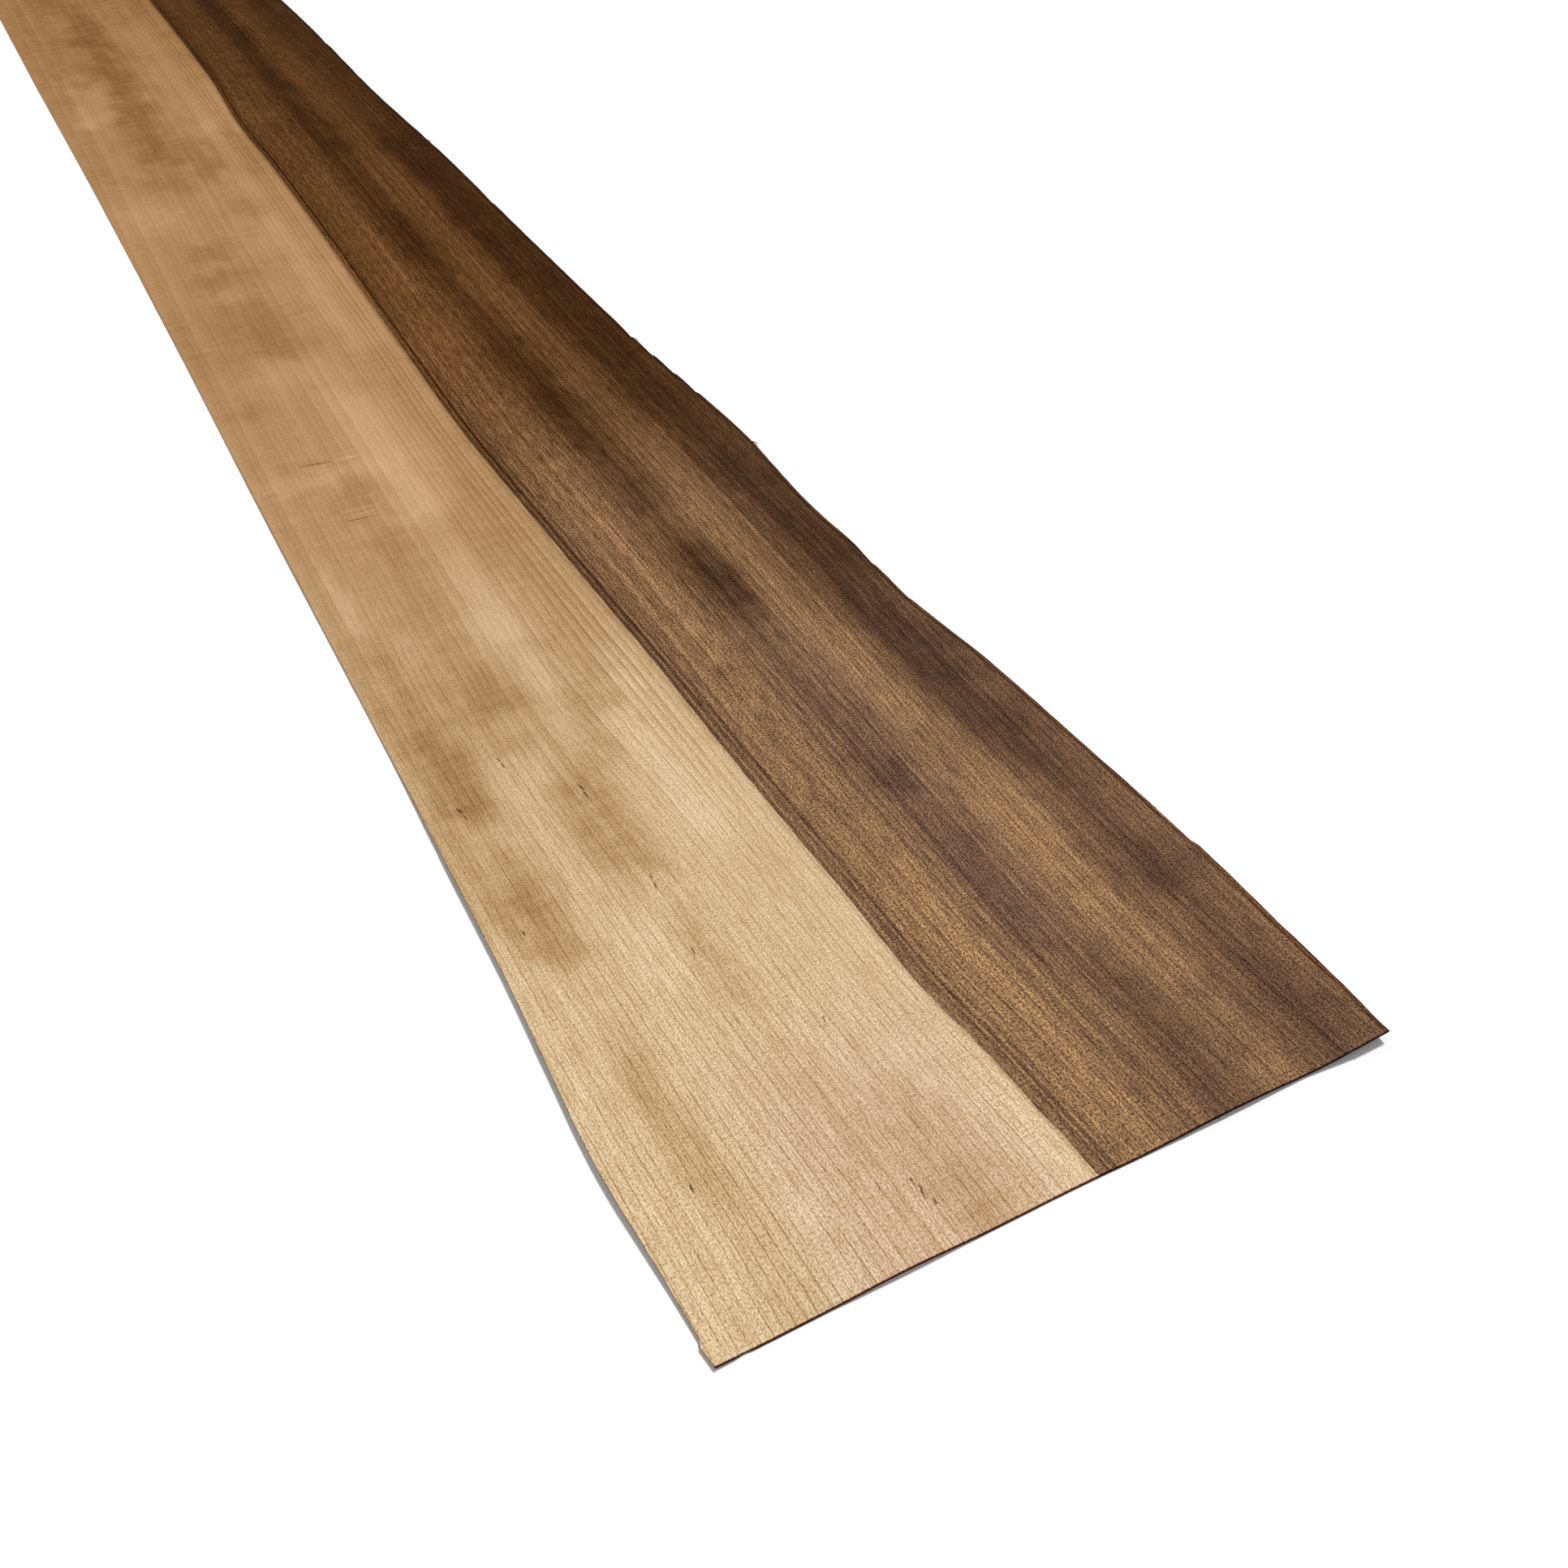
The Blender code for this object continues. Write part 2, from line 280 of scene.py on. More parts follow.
# Dusky patches of the heartwood (above 0) and warm light ones (below 0)
HEARTWOOD_PATCHES = (
    SoftPatch(-0.02, 0.072, 0.176, 0.192, 0.8, 0.008),
    SoftPatch(0.085, 0.11, 0.205, 0.245, 0.55, 0.02),
    SoftPatch(0.0, 0.05, 0.225, 0.24, 0.3, 0.03),
    SoftPatch(-0.02, 0.19, 0.226, 0.27, 0.6, 0.03, 0.1),
    SoftPatch(0.085, 0.17, 0.193, 0.208, -0.55, 0.02),
    SoftPatch(0.08, 0.21, 0.164, 0.176, 0.7, 0.03),
    SoftPatch(0.23, 0.27, 0.162, 0.176, 0.35, 0.02),
    SoftPatch(0.15, 0.19, 0.222, 0.24, 0.35, 0.02),
    SoftPatch(0.225, 0.3, 0.214, 0.236, 0.5, 0.04),
    SoftPatch(0.31, 0.385, 0.164, 0.184, 1.0, 0.03),
    SoftPatch(0.32, 0.44, 0.222, 0.25, 0.4, 0.04),
    SoftPatch(0.415, 0.48, 0.165, 0.185, 0.75, 0.02),
    SoftPatch(0.5, 0.52, 0.166, 0.18, 0.6, 0.012),
    SoftPatch(0.535, 0.62, 0.162, 0.186, 1.0, 0.04),
    SoftPatch(0.62, 0.72, 0.166, 0.18, 0.6, 0.04),
    SoftPatch(0.72, 0.815, 0.162, 0.182, 0.7, 0.04),
    SoftPatch(0.82, 1.0, 0.164, 0.18, 0.45, 0.04),
    SoftPatch(1.0, 1.15, 0.168, 0.19, 0.75, 0.05),
    SoftPatch(1.15, 1.26, 0.17, 0.186, 0.55, 0.05),
    SoftPatch(1.28, 1.5, 0.174, 0.195, 0.6, 0.05),
    SoftPatch(0.18, 1.02, 0.212, 0.28, 1.05, 0.04, 0.1),
    SoftPatch(1.0, 1.5, 0.234, 0.28, 0.5, 0.08, 0.1),
    SoftPatch(0.33, 0.72, 0.122, 0.152, -0.25, 0.05),
    SoftPatch(0.32, 0.38, 0.164, 0.184, 0.7, 0.02),
    SoftPatch(0.48, 0.56, 0.164, 0.186, 0.6, 0.03),
    SoftPatch(0.75, 0.86, 0.164, 0.184, 0.3, 0.03),
    SoftPatch(1.55, 1.8, 0.165, 0.19, 0.7, 0.08),
    SoftPatch(1.9, 2.2, 0.17, 0.2, 0.6, 0.08),
    SoftPatch(0.4, 0.5, 0.188, 0.212, -0.15, 0.03),
    SoftPatch(0.21, 0.3, 0.19, 0.205, -0.25, 0.03),
    SoftPatch(1.02, 1.16, 0.142, 0.15, -0.3, 0.05),
    SoftPatch(0.14, 0.3, 0.138, 0.152, 0.45, 0.04),
    SoftPatch(0.18, 0.24, 0.15, 0.19, 0.35, 0.03),
    SoftPatch(0.28, 0.42, 0.18, 0.196, -0.3, 0.04),
    SoftPatch(0.64, 0.76, 0.148, 0.21, -0.35, 0.04),
    SoftPatch(1.06, 1.2, 0.125, 0.14, -0.5, 0.06),
    SoftPatch(-0.02, 0.05, 0.19, 0.222, 0.3, 0.02),
    SoftPatch(-0.02, 0.04, 0.155, 0.175, 0.3, 0.02),
    SoftPatch(0.23, 0.27, 0.231, 0.25, 0.5, 0.02),
    SoftPatch(0.28, 0.34, 0.195, 0.222, 0.3, 0.03),
    SoftPatch(0.18, 0.22, 0.164, 0.178, 0.3, 0.02),
    SoftPatch(0.67, 0.73, 0.14, 0.151, 0.4, 0.03),
)

# Pinkish-white painted sheen on the sapwood beside the near cut, and greyish band of the heartwood
TINTED = (
    SoftPatch(-0.02, 0.085, 0.042, 0.118, 1.0, 0.04, 0.2),
    SoftPatch(0.08, 0.32, 0.158, 0.192, 1.0, 0.05),
)

# How far each kind of wood has gone to its darker far colours, partly deeper wood and partly painted shade
# of light falling off, as (station, share)
SAPWOOD_DEEPENING_AND_SHADE = (
    (0.0, 0.0),
    (0.1, 0.05),
    (0.2, 0.2),
    (0.3, 0.36),
    (0.35, 0.5),
    (0.45, 0.8),
    (0.6, 0.95),
    (0.7, 1.0),
)
HEARTWOOD_DEEPENING_AND_SHADE = (
    (0.0, 0.0),
    (0.12, 0.0),
    (0.25, 0.06),
    (0.3, 0.2),
    (0.35, 0.4),
    (0.42, 0.45),
    (0.5, 0.75),
    (0.6, 0.95),
    (0.8, 1.0),
)

# Depth of the heartwood's bands, as (share of the way from the heart line to the rim, depth)
HEARTWOOD_BANDS = (
    (0.0, 0.34),
    (0.06, 0.28),
    (0.16, 0.24),
    (0.24, 0.26),
    (0.33, 0.5),
    (0.42, 0.66),
    (0.5, 0.5),
    (0.58, 0.32),
    (0.68, 0.36),
    (0.77, 0.78),
    (0.88, 0.8),
    (0.97, 0.45),
)

# The grain runs over this many metres on each side of the heart line, however wide that side is
GRAIN_SIDE = 0.125
# Offset that the waney rim keeps to, apart from its waves
WANEY_OFFSET = 0.2475
# How far the soft patches stray along and across the leaf
PATCH_STRAY_ALONG = 0.012
PATCH_STRAY_ACROSS = 0.004
# How far they also drift across it past the near part, and the stations between which that sets in
PATCH_DRIFT = 0.011
PATCH_DRIFT_FROM = 0.4
PATCH_DRIFT_FULL = 0.55
# Length in which a nick of the waney rim reaches its depth
NICK_STEP = 0.0015
# Spacing of the stations at which the waney rim is measured for the browner rim
RIM_STEP = 0.004

# Shallow bends across the sapwood
CREASES = (
    Crease(0.54, 0.008, 0.06, 0.25, 0.0007, 0.0027),
    Crease(0.547, 0.004, 0.056, 0.25, -0.0003, 0.0027),
    Crease(0.478, 0.02, 0.055, 0.1, 0.0005, 0.0026),
    Crease(0.49, 0.028, 0.05, 0.05, 0.0004, 0.0026),
    Crease(0.823, 0.034, 0.068, 0.0, 0.0005, 0.006),
)


class Graph:
    """Short ways to add and join nodes in one node tree."""

    def __init__(self, tree: bpy.types.NodeTree) -> None:
        """Keep the tree that the nodes go in."""
        self.tree = tree

    def node(self, kind: str, inputs: dict | None = None, **settings: object) -> bpy.types.Node:
        """Add a node.

        Args:
            kind: the node's type name, without its ShaderNode start.
            inputs: values or sockets for its inputs, by name or number.
            settings: the node's own settings.

        Returns:
            The new node.
        """
        made = self.tree.nodes.new("ShaderNode" + kind)
        for name, value in settings.items():
            setattr(made, name, value)
        for key, value in (inputs or {}).items():
            self.feed(made.inputs[key], value)
        return made

    def feed(self, socket: Socket, value: object) -> None:
        """Link a socket to an input, or set the input to a value.

        Args:
            socket: the input.
            value: an output to link to it, or its new value.
        """
        if isinstance(value, bpy.types.NodeSocket):
            self.tree.links.new(value, socket)
        else:
            socket.default_value = value

    def math(self, operation: str, *values: object, clamp: bool = False) -> Socket:
        """Number worked out from up to three numbers."""
        made = self.node("Math", dict(enumerate(values)), operation=operation, use_clamp=clamp)
        return made.outputs[0]

    def spread(
        self, value: object, low: float, high: float, to_low: float = 0.0, to_high: float = 1.0
    ) -> Socket:
        """Value's range from low to high, moved smoothly to another range.

        Args:
            value: the number to move.
            low: start of its own range.
            high: end of its own range.
            to_low: what low becomes.
            to_high: what high becomes.

        Returns:
            The moved number, which stays inside its new range.
        """
        inputs = {0: value, 1: low, 2: high, 3: to_low, 4: to_high}
        made = self.node("MapRange", inputs, interpolation_type="SMOOTHSTEP", clamp=True)
        return made.outputs[0]

    def join(self, x: object, y: object, z: object = 0.0) -> Socket:
        """Vector of three numbers."""
        return self.node("CombineXYZ", {0: x, 1: y, 2: z}).outputs[0]

    def parts(self, vector: Socket) -> bpy.types.bpy_prop_collection:
        """The three numbers of a vector."""
        return self.node("SeparateXYZ", {0: vector}).outputs

    def attribute(self, name: str) -> Socket:
        """Vector that the mesh holds under a name."""
        return self.node("Attribute", attribute_name=name).outputs["Vector"]

    def cells(
        self, along: Socket, across: Socket, lengthwise: float, crosswise: float, third: object = 0.0
    ) -> Socket:
        """Vector that counts cells along and across the grain.

        Args:
            along: place along the grain.
            across: place across it.
            lengthwise: cells to the metre along the grain.
            crosswise: cells to the metre across it.
            third: the vector's third number, which picks another pattern.

        Returns:
            The vector.
        """
        lengths = self.math("MULTIPLY", along, lengthwise)
        widths = self.math("MULTIPLY", across, crosswise)
        return self.join(lengths, widths, third)

    def noise(self, vector: Socket, detail: float = 2.0, roughness: float = 0.5) -> Socket:
        """Fractal noise at a vector that is already in cells."""
        inputs = {"Vector": vector, "Scale": 1.0, "Detail": detail, "Roughness": roughness}
        return self.node("TexNoise", inputs, noise_dimensions="3D").outputs[0]

    def blend(self, factor: object, first: object, second: object, way: str = "MIX") -> Socket:
        """Mix of two colours."""
        made = self.node("Mix", {0: factor, 6: first, 7: second}, data_type="RGBA", blend_type=way)
        return made.outputs[2]

    def tinted(self, mask: object, colour: Socket, tint: Colour) -> Socket:
        """Colour multiplied by a tint where the mask is 1."""
        return self.blend(mask, colour, self.blend(1.0, colour, (*tint, 1.0), "MULTIPLY"))


class NodeGroup:
    """A shader node group with named inputs and outputs, built once."""

    def __init__(self, name: str, inputs: dict, outputs: tuple[str, ...]) -> None:
        """Make the group's sockets.

        Args:
            name: the group's name.
            inputs: each input's default value, by name.
            outputs: names of its number outputs.
        """
        self.tree = bpy.data.node_groups.new(name, "ShaderNodeTree")
        for label, value in inputs.items():
            kind = "NodeSocketFloat" if isinstance(value, float) else "NodeSocketVector"
            socket = self.tree.interface.new_socket(label, in_out="INPUT", socket_type=kind)
            if isinstance(value, float):
                socket.default_value = value
        for label in outputs:
            self.tree.interface.new_socket(label, in_out="OUTPUT", socket_type="NodeSocketFloat")
        self.graph = Graph(self.tree)
        self.inputs = self.tree.nodes.new("NodeGroupInput").outputs
        self.outputs = self.tree.nodes.new("NodeGroupOutput").inputs

    def place(self, graph: Graph, inputs: dict) -> bpy.types.bpy_prop_collection:
        """Put the group in a material.

        Args:
            graph: the material's graph.
            inputs: values or sockets for the group's inputs, by name.

        Returns:
            The group's outputs there.
        """
        made = graph.tree.nodes.new("ShaderNodeGroup")
        made.node_tree = self.tree
        for key, value in inputs.items():
            graph.feed(made.inputs[key], value)
        return made.outputs


class GrainGroups:
    """The grain effects that both woods share."""

    def __init__(self) -> None:
        """Build each group."""
        self.rings = self._rings()
        self.fibres = self._fibres()
        self.pores = self._pores()
        self.fleck = self._fleck()

    def _rings(self) -> NodeGroup:
        """Growth rings: a thin late line at each ring, sharp on one side, and a tone for each ring.

        Returns:
            The group. Line is the late line, Shade the darkening towards it, and Tone the ring's own.
        """
        group = NodeGroup(
            "growth rings",
            {"Grain": (0, 0, 0), "Spacing": 0.004, "Width": 0.0003, "Wander": 2.5, "Breaks": 0.6},
            ("Line", "Shade", "Tone"),
        )
        graph, given = group.graph, group.inputs
        parts = graph.parts(given["Grain"])
        along, across = parts[0], parts[1]
        slow = graph.noise(graph.cells(along, across, 2.2, 55.0))
        fine = graph.noise(graph.cells(along, across, 30.0, 160.0))
        phase = graph.math("DIVIDE", across, given["Spacing"])
        phase = graph.math("MULTIPLY_ADD", graph.math("SUBTRACT", slow, 0.5), given["Wander"], phase)
        phase = graph.math("MULTIPLY_ADD", graph.math("SUBTRACT", fine, 0.5), 0.16, phase)
        ring = graph.math("FLOOR", phase)
        share = graph.math("FRACT", phase)
        tone = graph.node("TexWhiteNoise", {"W": ring}, noise_dimensions="1D").outputs[0]
        width = graph.math("DIVIDE", given["Width"], given["Spacing"])
        fall = graph.math("SUBTRACT", 1.0, graph.math("DIVIDE", share, width), clamp=True)
        ahead = graph.math("DIVIDE", graph.math("SUBTRACT", 1.0, share), width)
        before = graph.math("SUBTRACT", 1.0, ahead, clamp=True)
        line = graph.math("MAXIMUM", fall, graph.math("MULTIPLY", before, before))
        grit = graph.noise(graph.cells(along, across, 420.0, 900.0, ring))
        gap = graph.noise(graph.cells(along, ring, 26.0, 7.3))
        worn = graph.math("MULTIPLY", graph.spread(grit, 0.32, 0.62), graph.spread(gap, 0.3, 0.62))
        kept = graph.math("SUBTRACT", 1.0, given["Breaks"])
        line = graph.math("MULTIPLY", line, graph.math("MULTIPLY_ADD", worn, given["Breaks"], kept))
        graph.feed(group.outputs["Line"], graph.math("MULTIPLY", line, graph.spread(tone, -0.5, 0.7)))
        depth = graph.spread(tone, -0.6, 0.9, 0.0, 1.4)
        graph.feed(group.outputs["Shade"], graph.math("MULTIPLY", graph.math("POWER", share, 1.6), depth))
        graph.feed(group.outputs["Tone"], tone)
        return group

    def _fibres(self) -> NodeGroup:
        """Fibre: long streaks, short fine fibres, a gritty sparkle, cross bars and mottle.

        Returns:
            The group. Each output is a noise around 0.
        """
        # Cells to the metre along and across the grain, detail and roughness of each noise
        scales = {
            "Streak": (2.2, 330.0, 4.0, 0.62),
            "Hair": (7.0, 1000.0, 2.0, 0.55),
            "Fine": (80.0, 1300.0, 2.0, 0.55),
            "Grit": (1000.0, 1600.0, 2.0, 0.6),
            "Cross": (190.0, 38.0, 3.0, 0.55),
            "Mottle": (22.0, 70.0, 3.0, 0.55),
        }
        group = NodeGroup("fibres", {"Grain": (0, 0, 0)}, tuple(scales))
        graph = group.graph
        parts = graph.parts(group.inputs["Grain"])
        for name, (along, across, detail, roughness) in scales.items():
            value = graph.noise(graph.cells(parts[0], parts[1], along, across), detail, roughness)
            centred = graph.math("SUBTRACT", value, 0.5)
            graph.feed(group.outputs[name], graph.math("MULTIPLY", centred, 2.0))
        return group

    def _pores(self) -> NodeGroup:
        """Open pores: short dark dashes along the grain.

        Returns:
            The group. Pore is 1 in the middle of each pore.
        """
        group = NodeGroup(
            "pores",
            {"Grain": (0, 0, 0), "Length": 0.005, "Width": 0.0011, "Share": 0.35},
            ("Pore",),
        )
        graph, given = group.graph, group.inputs
        parts = graph.parts(given["Grain"])
        lengths = graph.math("DIVIDE", parts[0], given["Length"])
        widths = graph.math("DIVIDE", parts[1], given["Width"])
        inputs = {"Vector": graph.join(lengths, widths), "Scale": 1.0}
        cells = graph.node("TexVoronoi", inputs, voronoi_dimensions="2D").outputs
        chosen = graph.node("SeparateColor", {0: cells["Color"]}).outputs
        open_cell = graph.math("LESS_THAN", chosen[0], given["Share"])
        size = graph.math("MULTIPLY_ADD", chosen[1], 0.14, 0.1)
        depth = graph.math("SUBTRACT", 1.0, graph.math("DIVIDE", cells["Distance"], size), clamp=True)
        graph.feed(group.outputs["Pore"], graph.math("MULTIPLY", graph.spread(depth, 0.0, 0.6), open_cell))
        return group

    def _fleck(self) -> NodeGroup:
        """One fleck, or one painted shade or highlight line along a fine fold: a ragged dash at a station
        and an offset.

        Returns:
            The group. Fleck is 1 on the dash, which leans along its length and skews across it.
        """
        group = NodeGroup(
            "fleck",
            {
                "Place": (0, 0, 0),
                "Station": 0.0,
                "Offset": 0.0,
                "Length": 0.004,
                "Width": 0.0006,
                "Lean": 0.0,
                "Skew": 0.0,
            },
            ("Fleck",),
        )
        graph, given = group.graph, group.inputs
        parts = graph.parts(given["Place"])
        along = graph.math("SUBTRACT", parts[0], given["Station"])
        across = graph.math("SUBTRACT", parts[1], given["Offset"])
        across = graph.math("MULTIPLY_ADD", along, given["Lean"], across)
        along = graph.math("MULTIPLY_ADD", across, given["Skew"], along)
        long = graph.math("DIVIDE", along, given["Length"])
        wide = graph.math("DIVIDE", across, given["Width"])
        reach = graph.math("ADD", graph.math("MULTIPLY", long, long), graph.math("MULTIPLY", wide, wide))
        ragged = graph.math("SUBTRACT", graph.noise(graph.cells(parts[0], parts[1], 700.0, 1500.0)), 0.5)
        reach = graph.math("ADD", reach, graph.math("MULTIPLY", ragged, 3.0))
        graph.feed(group.outputs["Fleck"], graph.spread(reach, 1.1, 0.2))
        return group


@dataclass(frozen=True)
class WoodTone:
    """Colour of one kind of wood, and what its figure multiplies it by, at the near and the far part, whose
    darker colour is partly painted shade of light falling off.
    """

    near: Colour
    far: Colour
    deep_near: Colour
    deep_far: Colour


@dataclass(frozen=True)
class Fleck:
    """A fleck of the wood, or a painted shade or highlight line along a fine fold: its place, half length,
    half width, lean and skew.
    """

    station: float
    offset: float
    length: float
    width: float
    lean: float = 0.0
    skew: float = 0.0


@dataclass(frozen=True)
class RimBand:
    """A strip of the waney rim in another colour: its distances from the rim and its tint."""

    start: float
    end: float
    tint: Colour


@dataclass(frozen=True)
class HeartLine:
    """A dark line along the heart line: its distance into the heartwood, half width and strengths."""

    middle: float
    half: float
    near: float
    far: float


@dataclass(frozen=True)
class VeneerFinish:
    """Bare sliced face grain: two tones of wood, growth rings, fibre, pores and gum flecks, with painted
    shade and painted highlight lines on the folds, a painted sheen beside the near cut, and, in part,
    painted shade on the cut and towards the far end.
    """

    # The far colours are darker partly with painted shade of light falling off towards the far end
    sapwood: WoodTone = WoodTone(
        near=(0.61, 0.425, 0.233),
        far=(0.4, 0.217, 0.092),
        deep_near=(0.8, 0.735, 0.64),
        deep_far=(0.8, 0.75, 0.67),
    )
    heartwood: WoodTone = WoodTone(
        near=(0.248, 0.137, 0.069),
        far=(0.107, 0.043, 0.0105),
        deep_near=(0.62, 0.6, 0.66),
        deep_far=(0.62, 0.58, 0.48),
    )
    # Painted sheen beside the near cut: the sapwood there turned paler and bluer
    painted_sheen_tint: Colour = (1.0, 0.985, 1.1)
    dusk_tint: Colour = (0.93, 0.94, 1.06)
    # Near-black end grain of the cut faces: partly the end grain's own dark colour and partly painted shade,
    # as the near cut faces away from the key light
    end_grain_and_shade: Colour = (0.07, 0.01, 0.004)
    side_grain: Colour = (0.55, 0.42, 0.34)
    bark: tuple[RimBand, ...] = (
        RimBand(0.0, 0.0006, (0.42, 0.22, 0.14)),
        RimBand(0.0, 0.0019, (0.88, 0.72, 0.56)),
        RimBand(0.0014, 0.0022, (0.4, 0.26, 0.17)),
    )
    # Dark strip of the top face along the near cut: partly the cut's own dark rim and partly painted shade,
    # which widens the cut's dark line
    cut_rim_and_shade_tint: Colour = (0.16, 0.045, 0.022)
    cut_rim_and_shade_width: float = 0.0005
    heart_lines: tuple[HeartLine, ...] = (
        HeartLine(0.001, 0.0008, 1.1, 1.5),
        HeartLine(0.0042, 0.0008, 1.1, 2.2),
        HeartLine(0.0071, 0.0008, 1.2, 0.5),
    )
    heart_lines_change: tuple[float, float] = (0.18, 0.32)
    roughness: float = 0.62
    specular: float = 0.012
    bump_strength: float = 0.22
    bump_depth: float = 0.00012
    broad_rings: tuple[float, float, float] = (0.0045, 0.0005, 2.0)
    narrow_rings: tuple[float, float, float] = (0.0037, 0.00024, 1.5)
    narrow_breaks: float = 0.5
    gum: Colour = (0.045, 0.02, 0.01)
    gum_strength: float = 0.8
    flecks: tuple[Fleck, ...] = (
        Fleck(0.2415, 0.0606, 0.0024, 0.0006, 0.25),
        Fleck(0.2365, 0.0605, 0.0024, 0.0005, 0.1),
        Fleck(0.183, 0.0642, 0.0022, 0.0004, -0.2),
        Fleck(0.1785, 0.0636, 0.0024, 0.0004, -0.15),
        Fleck(0.2505, 0.0137, 0.0026, 0.0006, 0.2),
        Fleck(0.2455, 0.0144, 0.0022, 0.0004, 0.1),
        Fleck(0.1778, 0.0121, 0.0018, 0.0005, 0.15),
        Fleck(0.1425, 0.0618, 0.0022, 0.0004, -0.15),
        Fleck(0.0935, 0.087, 0.0022, 0.0003, -0.25),
        Fleck(0.0255, 0.0795, 0.002, 0.0004, -0.1),
        Fleck(0.0212, 0.0802, 0.0026, 0.0005, -0.15),
        Fleck(0.0164, 0.0818, 0.0018, 0.0004, -0.15),
        Fleck(0.029, 0.0692, 0.0024, 0.0003, 0.0),
        Fleck(0.0552, 0.0191, 0.0022, 0.0005, -0.1),
        Fleck(0.2725, 0.0377, 0.002, 0.0004, 0.2),
        Fleck(0.2685, 0.038, 0.0022, 0.0004, 0.1),
        Fleck(0.0683, 0.2281, 0.0022, 0.0006, 0.15),
        Fleck(0.0956, 0.2261, 0.0018, 0.0005, 0.15),
        Fleck(0.0468, 0.2286, 0.0018, 0.0005, 0.15),
    )
    # Painted shade and painted highlight along the fine folds: a dark line and a pale line beside each
    # crease
    painted_fold_shade_tint: Colour = (0.7, 0.62, 0.53)
    painted_fold_shades: tuple[Fleck, ...] = (
        Fleck(0.5417, 0.037, 0.0011, 0.011, 0.0, 0.17),
        Fleck(0.4781, 0.0415, 0.0009, 0.01, 0.0, 0.03),
    )
    painted_fold_highlight_tint: Colour = (1.24, 1.26, 1.3)
    painted_fold_highlights: tuple[Fleck, ...] = (
        Fleck(0.5405, 0.051, 0.0014, 0.01),
        Fleck(0.4876, 0.0425, 0.0012, 0.011),
        Fleck(0.4835, 0.046, 0.0009, 0.006),
    )

    def build(self, groups: GrainGroups) -> bpy.types.Material:
        """Make the material.

        Args:
            groups: the shared grain effects.

        Returns:
            The material for the whole leaf.
        """
        material = bpy.data.materials.new("veneer")
        material.use_nodes = True
        graph = Graph(material.node_tree)
        shader = material.node_tree.nodes["Principled BSDF"]
        grain, place = graph.attribute("grain"), graph.attribute("place")
        masks, edges = graph.parts(graph.attribute("masks")), graph.parts(graph.attribute("edge"))
        tinted = graph.node("Attribute", attribute_name="tint").outputs["Fac"]
        figure, deepening_and_shade, from_cut = masks[0], masks[1], masks[2]
        places = graph.parts(place)
        station, from_waney = places[0], places[2]
        across = graph.parts(grain)[2]
        fibres = groups.fibres.place(graph, {"Grain": grain})
        pores = groups.pores.place(graph, {"Grain": grain})["Pore"]
        broad = self._ringed(graph, groups, grain, self.broad_rings)
        narrow = self._ringed(graph, groups, grain, self.narrow_rings, {"Breaks": self.narrow_breaks})

        depth = self._sapwood_depth(graph, across, deepening_and_shade, figure, fibres, narrow, pores)
        # Painted sheen on the sapwood beside the near cut, where the tint mask is set
        pale = graph.tinted(tinted, self._tone(graph, self.sapwood, deepening_and_shade, depth), self.painted_sheen_tint)
        past = graph.spread(station, *self.heart_lines_change)
        depth = self._heartwood_depth(graph, across, past, figure, fibres, broad, narrow, pores)
        dark = graph.tinted(tinted, self._tone(graph, self.heartwood, deepening_and_shade, depth), self.dusk_tint)
        wood = graph.blend(self._heart_mask(graph, across, deepening_and_shade, fibres), pale, dark)
        gum = graph.math("MULTIPLY", self._marks(graph, groups, place, self.flecks), self.gum_strength)
        wood = graph.blend(gum, wood, (*self.gum, 1.0))
        # Painted shade and painted highlight lines along the fine folds
        wood = graph.tinted(self._marks(graph, groups, place, self.painted_fold_shades), wood, self.painted_fold_shade_tint)
        wood = graph.tinted(self._marks(graph, groups, place, self.painted_fold_highlights), wood, self.painted_fold_highlight_tint)
        for band in self.bark:
            shown = self._strip(graph, from_waney, band.end, fibres["Mottle"])
            if band.start > 0.0:
                outer = self._strip(graph, from_waney, band.start, fibres["Mottle"])
                shown = graph.math("SUBTRACT", shown, outer, clamp=True)
            wood = graph.tinted(shown, wood, band.tint)
        # Painted shade, with the cut's own dark rim, in a strip along the near cut
        cut_rim_and_shade = self._strip(graph, from_cut, self.cut_rim_and_shade_width, fibres["Hair"])
        wood = graph.tinted(cut_rim_and_shade, wood, self.cut_rim_and_shade_tint)
        # Cut faces near black: partly end grain and partly painted shade
        wood = graph.tinted(edges[0], wood, self.end_grain_and_shade)
        wood = graph.tinted(edges[1], wood, self.side_grain)
        graph.feed(shader.inputs["Base Color"], wood)

        rough = graph.math("MULTIPLY_ADD", fibres["Streak"], 0.1, self.roughness)
        rough = graph.math("MULTIPLY_ADD", broad["Line"], -0.08, rough)
        graph.feed(shader.inputs["Roughness"], graph.math("MULTIPLY_ADD", pores, 0.15, rough))
        shader.inputs["Specular IOR Level"].default_value = self.specular
        relief = graph.math("MULTIPLY_ADD", fibres["Fine"], 0.35, fibres["Grit"])
        relief = graph.math("MULTIPLY_ADD", pores, -1.6, relief)
        relief = graph.math("MULTIPLY_ADD", broad["Line"], 0.8, relief)
        bump = {"Strength": self.bump_strength, "Distance": self.bump_depth, "Height": relief}
        graph.feed(shader.inputs["Normal"], graph.node("Bump", bump).outputs[0])
        return material

